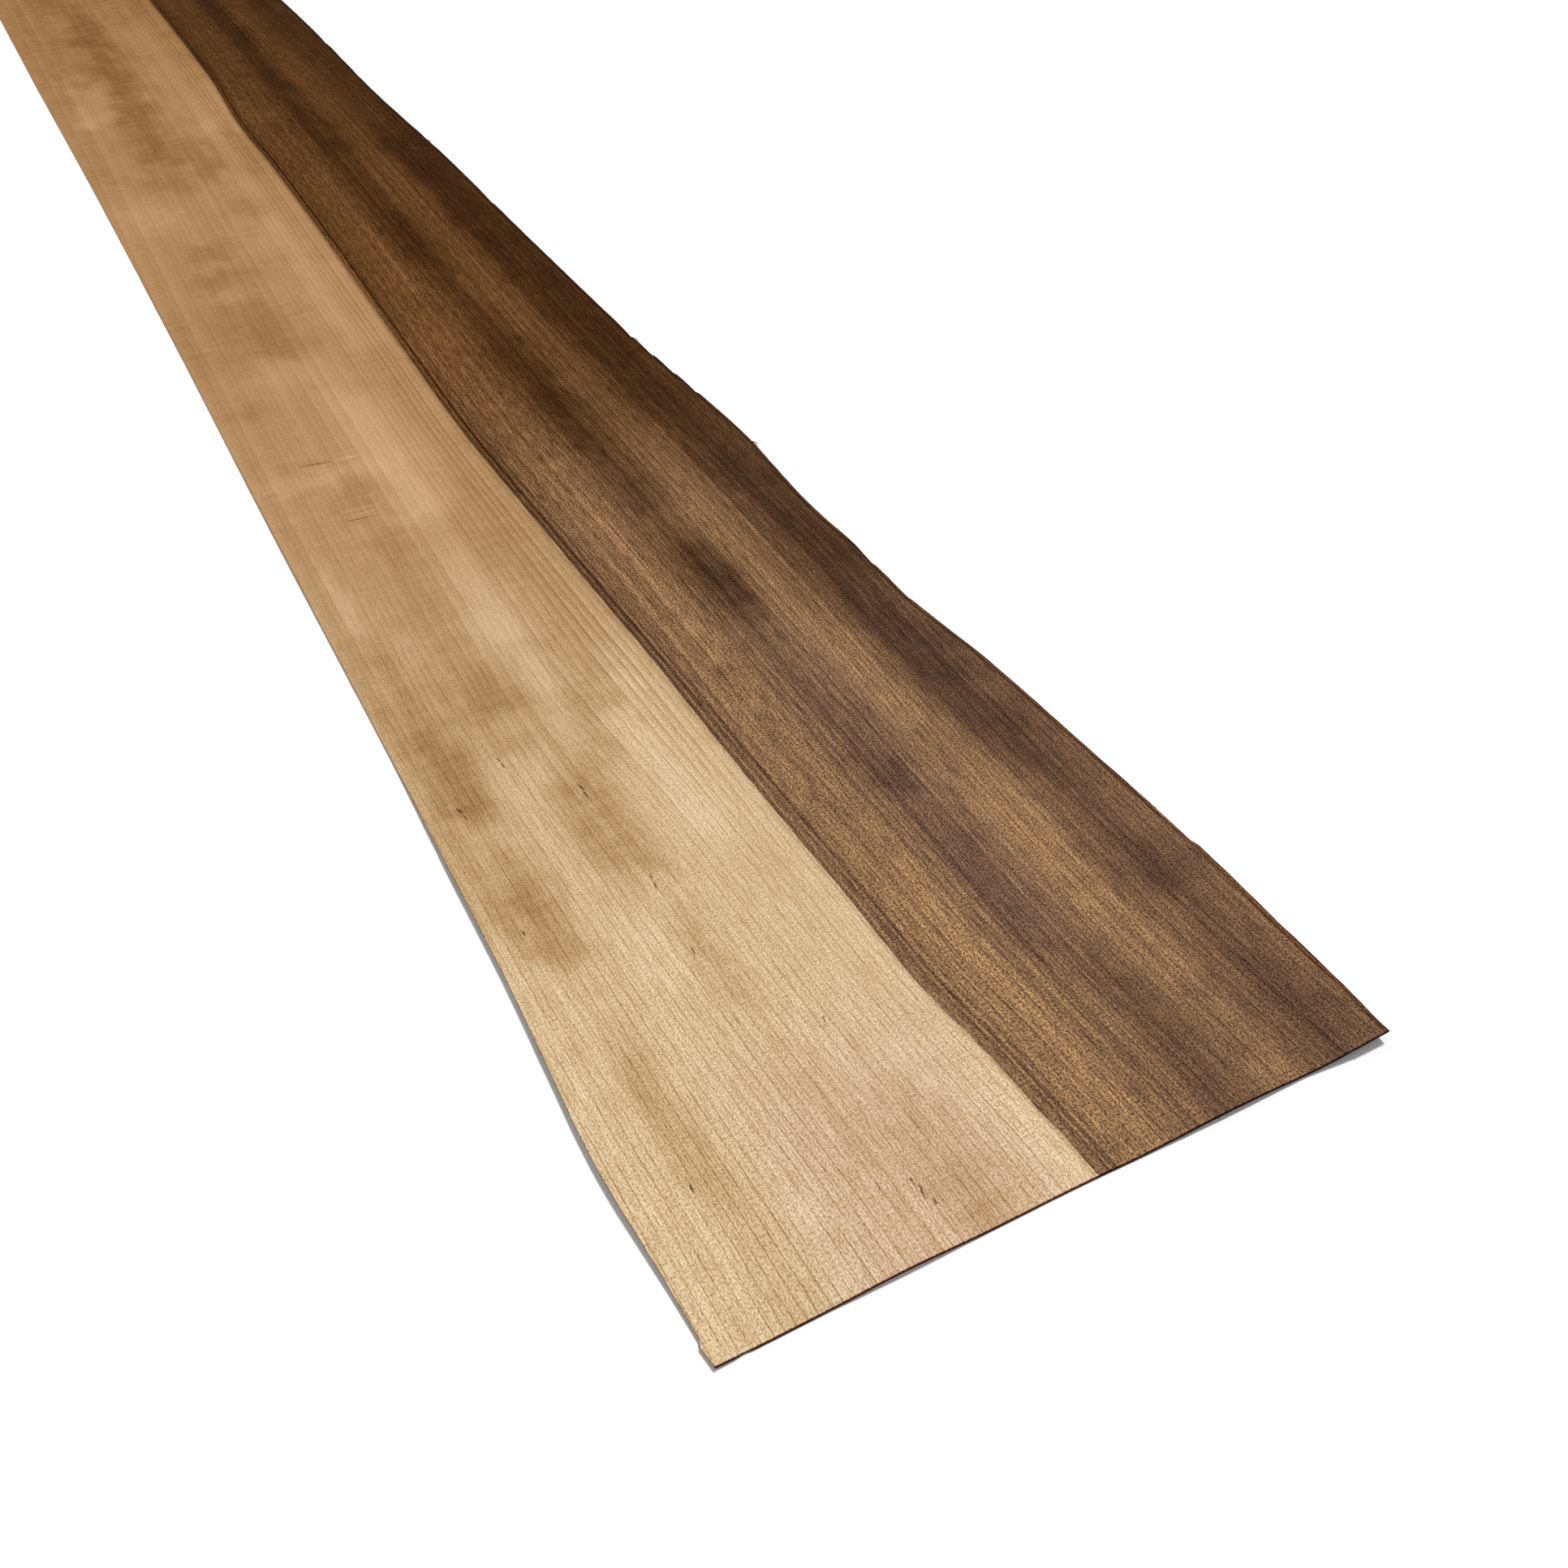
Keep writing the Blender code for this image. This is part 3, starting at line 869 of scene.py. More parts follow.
    def _ringed(
        self,
        graph: Graph,
        groups: GrainGroups,
        grain: Socket,
        sizes: tuple[float, float, float],
        more: dict | None = None,
    ) -> bpy.types.bpy_prop_collection:
        """Put the ring group in the material.

        Args:
            graph: the material's graph.
            groups: the shared grain effects.
            grain: run of the grain at each point.
            sizes: spacing of the rings, width of their lines, and how many rings they wander.
            more: other inputs of the group.

        Returns:
            The group's outputs there.
        """
        inputs = {"Grain": grain, **dict(zip(("Spacing", "Width", "Wander"), sizes)), **(more or {})}
        return groups.rings.place(graph, inputs)

    def _strip(self, graph: Graph, distance: Socket, width: float, wander: Socket) -> Socket:
        """Mask of a narrow strip along an edge, with an uneven inner side.

        Args:
            graph: the material's graph.
            distance: distance of each point from the edge.
            width: the strip's width.
            wander: noise around 0 that moves the inner side.

        Returns:
            1 on the strip and 0 past it.
        """
        uneven = graph.math("MULTIPLY_ADD", wander, 0.6 * width, distance)
        return graph.spread(uneven, 0.7 * width, 1.3 * width, 1.0, 0.0)

    def _heart_mask(self, graph: Graph, across: Socket, deepening_and_shade: Socket, fibres: dict) -> Socket:
        """Mask of the heartwood. The line between the two woods is softer towards the far part.

        Args:
            graph: the material's graph.
            across: distance from the heart line.
            deepening_and_shade: how far the colour has gone to the far colours, which are partly painted
                shade.
            fibres: the fibre group's outputs.

        Returns:
            1 in the heartwood and 0 in the sapwood.
        """
        ragged = graph.math("MULTIPLY_ADD", fibres["Streak"], 0.0007, across)
        ragged = graph.math("MULTIPLY_ADD", fibres["Fine"], 0.0006, ragged)
        softness = graph.math("MULTIPLY_ADD", deepening_and_shade, 0.0011, 0.0006)
        return graph.spread(graph.math("DIVIDE", ragged, softness), -1.0, 1.0)

    def _tone(self, graph: Graph, tone: WoodTone, deepening_and_shade: Socket, depth: Socket) -> Socket:
        """Wood colour at a depth of figure: its base colour times its deep colour to that power.

        Args:
            graph: the material's graph.
            tone: the kind of wood.
            deepening_and_shade: how far the colour has gone to the far colours, which are partly painted
                shade.
            depth: the depth of figure.

        Returns:
            The colour.
        """
        base = graph.blend(deepening_and_shade, (*tone.near, 1.0), (*tone.far, 1.0))
        deepest = graph.blend(deepening_and_shade, (*tone.deep_near, 1.0), (*tone.deep_far, 1.0))
        share = graph.node("SeparateColor", {0: deepest}).outputs
        powers = [graph.math("POWER", share[index], depth) for index in range(3)]
        deep = graph.node("CombineColor", dict(enumerate(powers))).outputs[0]
        return graph.blend(1.0, base, deep, "MULTIPLY")

    def _gritty(self, graph: Graph, fibres: dict, fine: float, grit: float) -> list[tuple[Socket, float]]:
        """Fine fibre and grit, with their light side cut off, so that they are mostly dark specks.

        Args:
            graph: the material's graph.
            fibres: the fibre group's outputs.
            fine: depth that the fine fibre adds.
            grit: depth that the grit adds.

        Returns:
            Each noise with its depth.
        """
        return [
            (graph.math("MAXIMUM", fibres["Fine"], -0.16), fine),
            (graph.math("MAXIMUM", fibres["Grit"], -0.12), grit),
        ]

    def _sapwood_depth(
        self,
        graph: Graph,
        across: Socket,
        deepening_and_shade: Socket,
        figure: Socket,
        fibres: dict,
        narrow: dict,
        pores: Socket,
    ) -> Socket:
        """Depth of the sapwood's figure: soft patches, cross bars, rings and fibre.

        Args:
            graph: the material's graph.
            across: distance from the heart line, below 0 in the sapwood.
            deepening_and_shade: how far the colour has gone to the far colours, which are partly painted
                shade.
            figure: strength of the soft patches.
            fibres: the fibre group's outputs.
            narrow: outputs of the narrow rings.
            pores: mask of the open pores.

        Returns:
            The depth at each point.
        """
        barred = graph.math("MULTIPLY_ADD", fibres["Cross"], 0.8, 1.6)
        barred = graph.math("MULTIPLY_ADD", fibres["Mottle"], 1.0, barred)
        depth = graph.math("MULTIPLY", figure, barred)
        near_heart = graph.spread(across, -0.055, -0.01, 0.25, 1.0)
        shading = graph.math("MULTIPLY", narrow["Shade"], near_heart)
        shading = graph.math("MULTIPLY", shading, graph.spread(deepening_and_shade, 0.1, 0.45))
        shading = graph.math("MULTIPLY", shading, graph.math("MULTIPLY_ADD", deepening_and_shade, -0.8, 1.9))
        crossing = graph.math("MULTIPLY", fibres["Cross"], graph.math("MULTIPLY_ADD", deepening_and_shade, 0.4, 0.1))
        lines = graph.math("MULTIPLY", narrow["Line"], graph.math("MULTIPLY_ADD", deepening_and_shade, -4.3, 4.9))
        for value, amount in self._gritty(graph, fibres, 2.1, 5.2):
            amount_here = graph.math("MULTIPLY_ADD", deepening_and_shade, -0.7 * amount, amount)
            depth = graph.math("MULTIPLY_ADD", value, amount_here, depth)
        for value, amount in (
            (fibres["Streak"], 0.2),
            (crossing, 1.0),
            (fibres["Mottle"], 0.3),
            (lines, 1.0),
            (shading, 1.0),
            (narrow["Tone"], 0.35),
            (pores, 0.8),
        ):
            depth = graph.math("MULTIPLY_ADD", value, amount, depth)
        return graph.math("ADD", depth, -0.75)

    def _heartwood_depth(
        self,
        graph: Graph,
        across: Socket,
        past: Socket,
        figure: Socket,
        fibres: dict,
        broad: dict,
        narrow: dict,
        pores: Socket,
    ) -> Socket:
        """Depth of the heartwood's figure: bands along the grain, rings, fibre and open pores.

        Args:
            graph: the material's graph.
            across: distance from the heart line, of GRAIN_SIDE at the rim.
            past: 0 in the near part, where three lines follow the heart line, and 1 past it.
            figure: strength of the soft patches.
            fibres: the fibre group's outputs.
            broad: outputs of the broad rings.
            narrow: outputs of the narrow rings.
            pores: mask of the open pores.

        Returns:
            The depth at each point.
        """
        share = graph.math("DIVIDE", across, GRAIN_SIDE)
        bands = self._bands(graph, graph.math("MULTIPLY_ADD", fibres["Streak"], 0.02, share))
        depth = graph.math("MULTIPLY_ADD", bands, 2.2, -0.9)
        barred = graph.math("MULTIPLY_ADD", fibres["Cross"], 0.3, 1.0)
        barred = graph.math("MULTIPLY_ADD", fibres["Mottle"], 0.8, barred)
        depth = graph.math("MULTIPLY_ADD", figure, barred, depth)
        for value, amount in (
            (fibres["Streak"], 1.1),
            (fibres["Hair"], 1.1),
            (fibres["Cross"], 0.08),
            (fibres["Mottle"], 0.3),
            *self._gritty(graph, fibres, 2.6, 7.0),
            (broad["Line"], 0.45),
            (broad["Tone"], 0.4),
            (narrow["Line"], 2.6),
            (narrow["Shade"], 0.5),
            (pores, 1.0),
        ):
            depth = graph.math("MULTIPLY_ADD", value, amount, depth)
        wavering = graph.math("MULTIPLY_ADD", fibres["Mottle"], 0.0003, across)
        for line in self.heart_lines:
            away = graph.math("ABSOLUTE", graph.math("SUBTRACT", wavering, line.middle))
            shown = graph.math("SUBTRACT", 1.0, graph.spread(away, 0.4 * line.half, 1.6 * line.half))
            strength = graph.math("MULTIPLY_ADD", past, line.far - line.near, line.near)
            strength = graph.math("MULTIPLY_ADD", fibres["Streak"], 0.4 * line.near, strength)
            depth = graph.math("MULTIPLY_ADD", shown, strength, depth)
        return graph.math("ADD", depth, -0.55)

    def _bands(self, graph: Graph, share: Socket) -> Socket:
        """Soft bands of the heartwood, along the grain.

        Args:
            graph: the material's graph.
            share: share of the way from the heart line to the rim.

        Returns:
            Depth of the bands, from 0 to 1.
        """
        bands = graph.node("ValToRGB", {0: share})
        stops = bands.color_ramp
        stops.interpolation = "B_SPLINE"
        while len(stops.elements) < len(HEARTWOOD_BANDS):
            stops.elements.new(0.5)
        for element, (position, depth) in zip(stops.elements, HEARTWOOD_BANDS):
            element.position = position
            element.color = (depth, depth, depth, 1.0)
        return bands.outputs[0]

    def _marks(self, graph: Graph, groups: GrainGroups, place: Socket, marks: tuple[Fleck, ...]) -> Socket:
        """Mask of several flecks, or of several painted shade or highlight lines along folds.

        Args:
            graph: the material's graph.
            groups: the shared grain effects.
            place: station and offset of each point.
            marks: the flecks, or the painted fold lines.

        Returns:
            1 on each of them and 0 elsewhere.
        """
        total = 0.0
        for fleck in marks:
            made = groups.fleck.place(
                graph,
                {
                    "Place": place,
                    "Station": fleck.station,
                    "Offset": fleck.offset,
                    "Length": fleck.length,
                    "Width": fleck.width,
                    "Lean": fleck.lean,
                    "Skew": fleck.skew,
                },
            )
            total = graph.math("MAXIMUM", made["Fleck"], total)
        return total


@dataclass
class Layout:
    """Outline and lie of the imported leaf, read from its solid."""

    node: bpy.types.Object
    bow: float = 0.00363
    lead: float = 0.0022
    reach: float = 0.04
    inset: float = 0.00012
    smoothing: int = 3

    def __post_init__(self) -> None:
        """Keep the solid's edges, the line of its near cut, and a tree for rays."""
        mesh = self.node.data
        self.points = np.array([vert.co for vert in mesh.vertices], float)
        self.edges = np.array([edge.vertices for edge in mesh.edges], int)
        corners = [tuple(point) for point in self.points]
        self.tree = BVHTree.FromPolygons(corners, [tuple(face.vertices) for face in mesh.polygons])
        self.low, self.high = self.points.min(axis=0), self.points.max(axis=0)
        self.near_line = float(self.high[0]) - self.lead
        self.length = self.near_line - float(self.low[0])
        self.corner_line = float(self.low[1]) + self.bow
        near = self.points[self.points[:, 0] > self.high[0] - 2.0 * self.lead]
        near = near[np.argsort(near[:, 1])]
        self.cut_line = np.stack([near[:, 1], near[:, 0] - self.near_line], axis=-1)

    def lean(self, station: np.ndarray | float, across: np.ndarray | float) -> np.ndarray:
        """How far the rows lean forward beside the near cut, which isn't quite straight.

        Args:
            station: distance from the near cut's mean line.
            across: Y of each point.

        Returns:
            Distance that the row leads its station there.
        """
        fading = np.clip(1.0 - np.asarray(station, float) / self.reach, 0.0, 1.0) ** 2
        return np.interp(across, self.cut_line[:, 0], self.cut_line[:, 1]) * fading

    def rim(self, station: float, side: Side) -> float:
        """Place of a rim across the leaf.

        Args:
            station: distance from the near cut's mean line.
            side: which rim.

        Returns:
            The rim's Y.
        """
        corner = self.cut_line[0 if side is Side.SAPWOOD else -1, 0]
        cut = self.near_line - station + float(self.lean(station, corner))
        cut = min(max(cut, self.low[0] + 1e-5), self.near_line + self.lean(0.0, corner) - 1e-5)
        first, second = self.points[self.edges[:, 0]], self.points[self.edges[:, 1]]
        crossing = (first[:, 0] - cut) * (second[:, 0] - cut) <= 0.0
        first, second = first[crossing], second[crossing]
        span = second[:, 0] - first[:, 0]
        flat = np.abs(span) < 1e-9
        share = np.where(flat, 0.0, (cut - first[:, 0]) / np.where(flat, 1.0, span))
        sides = first[:, 1] + share * (second[:, 1] - first[:, 1])
        return float(sides.min() if side is Side.SAPWOOD else sides.max())

    def underside(self, x: float, y: float) -> float:
        """Height of the solid's underside at a point."""
        hit, _, _, _ = self.tree.ray_cast(Vector((x, y, self.low[2] - 0.01)), Vector((0.0, 0.0, 1.0)))
        return float(hit.z) if hit is not None else 0.0


@dataclass(frozen=True)
class RowLength:
    """Length of the mesh's cells along the leaf, up to a station."""

    end: float
    length: float


@dataclass(frozen=True)
class Whisker:
    """A torn fibre of the waney rim: its station, how far it stands out, and its run along the rim."""

    station: float
    stand: float
    run: float


@dataclass(frozen=True)
class Nick:
    """A step in the waney rim: its station, its depth there, and the length in which it closes."""

    start: float
    depth: float
    length: float


@dataclass(frozen=True)
class Chip:
    """A chip out of the near cut: its offset, depth and half width."""

    middle: float
    depth: float
    half: float


@dataclass
class VeneerLeaf:
    """The leaf, remade finely over its solid, with its ragged rims, split, creases and whiskers."""

    layout: Layout
    thickness: float = 0.0006
    columns: int = 80
    strip_width: float = 0.004
    split_start: float = 0.0926
    split_end: float = 0.1034
    split_gape: float = 0.0007
    cockle: float = 0.00022
    # Wander of the waney rim, the sapwood rim and the cut, each as its mean and the size of its noise
    rim_wander: tuple[float, float, float] = (0.0001, 0.0003, 0.00015)
    sapwood_wander: tuple[float, float] = (0.00005, 0.00008)
    cut_wander: tuple[float, float] = (0.00006, 0.00008)
    # Half the length of the mesh's cell that each whisker is drawn from
    whisker_row: float = 0.0002
    smooth_angle: float = 35.0
    rows: tuple[RowLength, ...] = (RowLength(0.62, 0.0025), RowLength(1.5, 0.005), RowLength(2.44, 0.008))
    whiskers: tuple[Whisker, ...] = (
        Whisker(0.1252, 0.0005, 0.0012),
        Whisker(0.456, 0.0014, 0.005),
        Whisker(0.602, 0.0018, 0.007),
        Whisker(0.99, 0.0013, 0.006),
        Whisker(1.63, 0.002, 0.008),
    )
    nicks: tuple[Nick, ...] = (
        Nick(0.1022, 0.0006, 0.025),
        Nick(0.2889, 0.0006, 0.02),
        Nick(0.3192, 0.0007, 0.02),
        Nick(0.5177, 0.0009, 0.02),
        Nick(0.5457, 0.0008, 0.018),
        Nick(0.5724, 0.0009, 0.02),
        Nick(0.5983, 0.0012, 0.03),
        Nick(0.84, 0.0007, 0.03),
        Nick(1.27, 0.0009, 0.03),
        Nick(1.92, 0.0009, 0.04),
    )
    chips: tuple[Chip, ...] = (Chip(0.0082, 0.0004, 0.0014), Chip(0.2305, 0.0003, 0.0012))

    def build(self) -> bpy.types.Object:
        """Model the leaf.

        Returns:
            The finished leaf, at the origin, with its place in its mesh.
        """
        stations = self._stations()
        count = len(stations) - 1
        bpy.ops.object.select_all(action="DESELECT")
        bpy.ops.mesh.primitive_grid_add(x_subdivisions=count, y_subdivisions=self.columns, size=1.0)
        leaf = bpy.context.object
        leaf.name = "veneer_leaf"
        mesh = leaf.data
        corners = self._corners(mesh)
        row = np.rint((0.5 - corners[:, 0]) * count).astype(int)
        column = np.rint((0.5 + corners[:, 1]) * self.columns).astype(int)
        grid = self._grid(stations)
        mesh.vertices.foreach_set("co", grid[row, column].ravel())
        self._open_split(leaf, stations, row, column)
        self._draw_whiskers(leaf)
        self._thicken(leaf)
        return leaf

    def _corners(self, mesh: bpy.types.Mesh) -> np.ndarray:
        """Place of each vertex of a mesh.

        Args:
            mesh: the mesh.

        Returns:
            One row of X, Y and Z for each vertex.
        """
        corners = np.empty(len(mesh.vertices) * 3)
        mesh.vertices.foreach_get("co", corners)
        return corners.reshape(-1, 3)

    def _stations(self) -> np.ndarray:
        """Stations of the rows, which are close together near the camera.

        Returns:
            The stations, with rows at the ends of the split and on both sides of each whisker.
        """
        marks = [0.0, self.split_start, self.split_end]
        marks += [stretch.end for stretch in self.rows[:-1]]
        marks += [self.layout.length]
        for whisker in self.whiskers:
            marks += [whisker.station - self.whisker_row, whisker.station + self.whisker_row]
        marks = sorted(set(marks))
        stations = [0.0]
        for start, end in zip(marks, marks[1:]):
            length = next((row.length for row in self.rows if end <= row.end + 1e-6), self.rows[-1].length)
            steps = max(math.ceil((end - start) / length), 1)
            stations += [start + (end - start) * step / steps for step in range(1, steps + 1)]
        return np.array(stations)

    def _grid(self, stations: np.ndarray) -> np.ndarray:
        """Place of every point of the surface.

        Args:
            stations: stations of the rows.

        Returns:
            Points by row and column.
        """
        layout = self.layout
        solid_low = np.array([layout.rim(station, Side.SAPWOOD) for station in stations])
        solid_high = np.array([layout.rim(station, Side.WANEY) for station in stations])
        low, high = self._ragged(stations, solid_low, solid_high)
        share = np.linspace(0.0, 1.0, self.columns)
        inner = high - self.strip_width
        across = np.empty((len(stations), self.columns + 1))
        across[:, :-1] = low[:, None] + (inner - low)[:, None] * share[None, :]
        across[:, -1] = high
        along = layout.near_line - stations[:, None] + layout.lean(stations[:, None], across)
        heights = np.empty_like(across)
        lowest, highest = solid_low + layout.inset, solid_high - layout.inset
        for index in range(len(stations)):
            for place in range(self.columns + 1):
                x = along[index, place] - (layout.inset if index == 0 else 0.0)
                y = min(max(across[index, place], lowest[index]), highest[index])
                heights[index, place] = layout.underside(max(x, layout.low[0] + layout.inset), y)
        heights = self._smooth(stations, heights)
        offset = across - layout.corner_line
        station = stations[:, None] + 0.0 * across
        for crease in CREASES:
            heights += crease.value(station, offset)
        heights += self._cockle(station, offset)
        heights = np.maximum(heights, 0.0)
        along = self._chip(along, offset)
        return np.stack([along, across, heights], axis=-1)

    def _ragged(
        self, stations: np.ndarray, low: np.ndarray, high: np.ndarray
    ) -> tuple[np.ndarray, np.ndarray]:
        """Fine wander of the two rims, and the waney rim's nicks.

        Args:
            stations: stations of the rows.
            low: Y of the solid's sapwood rim at each row.
            high: Y of the solid's waney rim at each row.

        Returns:
            Y of the two ragged rims at each row.
        """
        low, high = low.copy(), high.copy()
        rest, slow_part, fine_part = self.rim_wander
        sapwood_rest, sapwood_part = self.sapwood_wander
        for index, station in enumerate(stations):
            slow = noise.noise(Vector((station * 38.0, 3.1, 0.0)))
            fine = noise.noise(Vector((station * 160.0, 7.7, 0.0)))
            high[index] -= rest + slow_part * slow + fine_part * fine
            low[index] += sapwood_rest + sapwood_part * noise.noise(Vector((station * 70.0, 11.0, 0.0)))
        for nick in self.nicks:
            inside = (stations >= nick.start) & (stations <= nick.start + nick.length)
            there = stations[inside]
            step = ramp(there, nick.start, nick.start + NICK_STEP)
            high[inside] -= nick.depth * (1.0 - (there - nick.start) / nick.length) * step
        return low, high

    def _smooth(self, stations: np.ndarray, heights: np.ndarray) -> np.ndarray:
        """Smooth away the solid's flat facets.

        Args:
            stations: stations of the rows.
            heights: height of each point, by row and column.

        Returns:
            The smoother heights.
        """
        smooth = heights.copy()
        for _ in range(self.layout.smoothing):
            before, after = smooth[:-2], smooth[2:]
            gap_before = (stations[1:-1] - stations[:-2])[:, None]
            gap_after = (stations[2:] - stations[1:-1])[:, None]
            mean = (before * gap_after + after * gap_before) / (gap_before + gap_after)
            smooth[1:-1] = 0.5 * smooth[1:-1] + 0.5 * mean
            middle = smooth.copy()
            middle[:, 1:-1] = 0.5 * smooth[:, 1:-1] + 0.25 * (smooth[:, :-2] + smooth[:, 2:])
            smooth = middle
        return smooth

    def _cockle(self, station: np.ndarray, offset: np.ndarray) -> np.ndarray:
        """Slight waves of the dry leaf, a fraction of a millimetre high.

        Args:
            station: distance of each point from the near cut.
            offset: distance of each point from the sapwood corner's line.

        Returns:
            Height of the waves at each point, which is nothing beside the near cut.
        """
        waves = np.zeros_like(station)
        for index in np.ndindex(station.shape):
            spot = Vector((station[index] * 9.0, offset[index] * 26.0, 1.7))
            waves[index] = noise.noise(spot)
        settled = ramp(station, 0.02, 0.09)
        return self.cockle * settled * np.clip(waves, 0.0, 1.0)

    def _draw_whiskers(self, leaf: bpy.types.Object) -> None:
        """Draw an edge of the waney rim out to a point at each whisker: a thin torn fibre.

        Args:
            leaf: the open surface.
        """
        mesh = leaf.data
        for whisker in self.whiskers:
            stand, run = whisker.stand, whisker.run
            x = self.layout.near_line - whisker.station
            rim = self.layout.rim(whisker.station, Side.WANEY) - self.strip_width / 2
            bpy.ops.object.mode_set(mode="EDIT")
            bpy.ops.mesh.select_mode(type="EDGE")
            bpy.ops.mesh.select_all(action="DESELECT")
            bpy.ops.object.mode_set(mode="OBJECT")
            for edge in mesh.edges:
                ends = [mesh.vertices[end].co for end in edge.vertices]
                edge.select = all(abs(end.x - x) < 2.0 * self.whisker_row and end.y > rim for end in ends)
            bpy.ops.object.mode_set(mode="EDIT")
            for move in ((run * 0.4, stand * 0.6, 0.0002), (run * 0.6, stand * 0.4, 0.0004)):
                bpy.ops.mesh.extrude_edges_move(TRANSFORM_OT_translate={"value": move})
            bpy.ops.mesh.merge(type="CENTER")
            bpy.ops.object.mode_set(mode="OBJECT")

    def _chip(self, along: np.ndarray, offset: np.ndarray) -> np.ndarray:
        """Fine wander of the near cut, and small chips out of it.

        Args:
            along: X of each point, by row and column.
            offset: distance of each point from the sapwood corner's line.

        Returns:
            X of each point, with the first row moved.
        """
        rest, part = self.cut_wander
        wander = np.array([noise.noise(Vector((value * 120.0, 0.0, 5.0))) for value in offset[0]])
        along[0] -= rest + part * wander
        for chip in self.chips:
            away = np.abs(offset[0] - chip.middle)
            along[0] -= chip.depth * (1.0 - ramp(away, chip.half * 0.4, chip.half * 1.6))
        return along

    def _open_split(
        self, leaf: bpy.types.Object, stations: np.ndarray, row: np.ndarray, column: np.ndarray
    ) -> None:
        """Rip the surface beside the waney strip and spread the two lips of the split.

        Args:
            leaf: the open surface.
            stations: stations of the rows.
            row: each vertex's row.
            column: each vertex's column.
        """
        mesh = leaf.data
        on_split = (column == self.columns - 1) & (stations[row] >= self.split_start - 1e-6)
        on_split &= stations[row] <= self.split_end + 1e-6
        bpy.ops.object.mode_set(mode="EDIT")
        bpy.ops.mesh.select_mode(type="EDGE")
        bpy.ops.mesh.select_all(action="DESELECT")
        bpy.ops.object.mode_set(mode="OBJECT")
        lips = set()
        for edge in mesh.edges:
            first, second = edge.vertices
            edge.select = bool(on_split[first] and on_split[second])
            if edge.select:
                lips.update((mesh.vertices[first].co.to_tuple(6), mesh.vertices[second].co.to_tuple(6)))
        bpy.ops.object.mode_set(mode="EDIT")
        bpy.ops.mesh.edge_split(type="EDGE")
        bpy.ops.object.mode_set(mode="OBJECT")
        outward: dict[int, list[bool]] = {}
        for face in mesh.polygons:
            for vertex in face.vertices:
                outward.setdefault(vertex, []).append(face.center.y > mesh.vertices[vertex].co.y)
        for vertex in mesh.vertices:
            if vertex.co.to_tuple(6) not in lips:
                continue
            station = self.layout.near_line - vertex.co.x
            share = (station - self.split_start) / (self.split_end - self.split_start)
            spread = 0.5 * self.split_gape * math.sin(math.pi * min(max(share, 0.0), 1.0))
            vertex.co.y += spread if all(outward[vertex.index]) else -spread

    def _thicken(self, leaf: bpy.types.Object) -> None:
        """Give the surface its thickness and smooth its shading.

        Args:
            leaf: the open surface, which becomes a closed shell.
        """
        bpy.ops.object.select_all(action="DESELECT")
        leaf.select_set(True)
        bpy.context.view_layer.objects.active = leaf
        wall = leaf.modifiers.new("thickness", "SOLIDIFY")
        wall.thickness = self.thickness
        wall.offset = 1.0
        bpy.ops.object.modifier_apply(modifier=wall.name)
        bpy.ops.object.shade_smooth_by_angle(angle=math.radians(self.smooth_angle))

    def dress(self, leaf: bpy.types.Object, material: bpy.types.Material) -> None:
        """Give the leaf its material and the attributes that the material reads.

        Args:
            leaf: the finished mesh.
            material: the veneer's material.
        """
        mesh = leaf.data
        mesh.materials.clear()
        mesh.materials.append(material)
        corners = self._corners(mesh)
        station = self.layout.near_line - corners[:, 0]
        offset = corners[:, 1] - self.layout.corner_line
        grain = self.grain(station, offset)
        marks = np.arange(0.0, self.layout.length, RIM_STEP)
        rims = np.array([self.layout.rim(mark, Side.WANEY) for mark in marks])
        from_waney = np.interp(station, marks, rims) - corners[:, 1]
        from_cut = station + self.layout.lean(0.0, corners[:, 1])
        figure, age = self.figure(station, offset), self.age(station, grain[:, 2])
        # Tint mask: painted sheen beside the near cut, and the heartwood's greyish band
        tinted = sum(patch.value(station, offset) for patch in TINTED)
        self._store(mesh, "tint", tinted)
        self._store(mesh, "grain", grain)
        self._store(mesh, "masks", np.stack([figure, age, from_cut], axis=-1))
        self._store(mesh, "place", np.stack([station, offset, from_waney], axis=-1))
        normals = np.empty(len(mesh.polygons) * 3)
        mesh.polygons.foreach_get("normal", normals)
        normals = np.abs(normals.reshape(-1, 3))
        upright = normals[:, 2] < 0.5
        end = upright & (normals[:, 0] > normals[:, 1])
        self._store(mesh, "edge", np.stack([end, upright & ~end, np.zeros_like(end)], axis=-1), "FACE")

    def _store(self, mesh: bpy.types.Mesh, name: str, values: np.ndarray, domain: str = "POINT") -> None:
        """Keep values in a mesh under a name, for its material to read.

        Args:
            mesh: the mesh.
            name: the attribute's name.
            values: one number or one vector for each element.
            domain: which elements they belong to.
        """
        kind, field = ("FLOAT", "value") if values.ndim == 1 else ("FLOAT_VECTOR", "vector")
        layer = mesh.attributes.new(name, kind, domain)
        layer.data.foreach_set(field, values.astype(np.float32).ravel())

    def grain(self, station: np.ndarray, offset: np.ndarray) -> np.ndarray:
        """Run of the grain at each point.

        Args:
            station: distance of each point from the near cut.
            offset: distance of each point from the sapwood corner's line.

        Returns:
            Three numbers for each point: along the grain, across its rings, and from the heart line.
        """
        heart = through(HEART_LINE, station)
        inside = GRAIN_SIDE * (offset - heart) / (WANEY_OFFSET - heart)
        outside = GRAIN_SIDE * (offset - heart) / heart
        from_heart = np.where(offset > heart, inside, outside)
        return np.stack([station, self.ring(station, offset), from_heart], axis=-1)

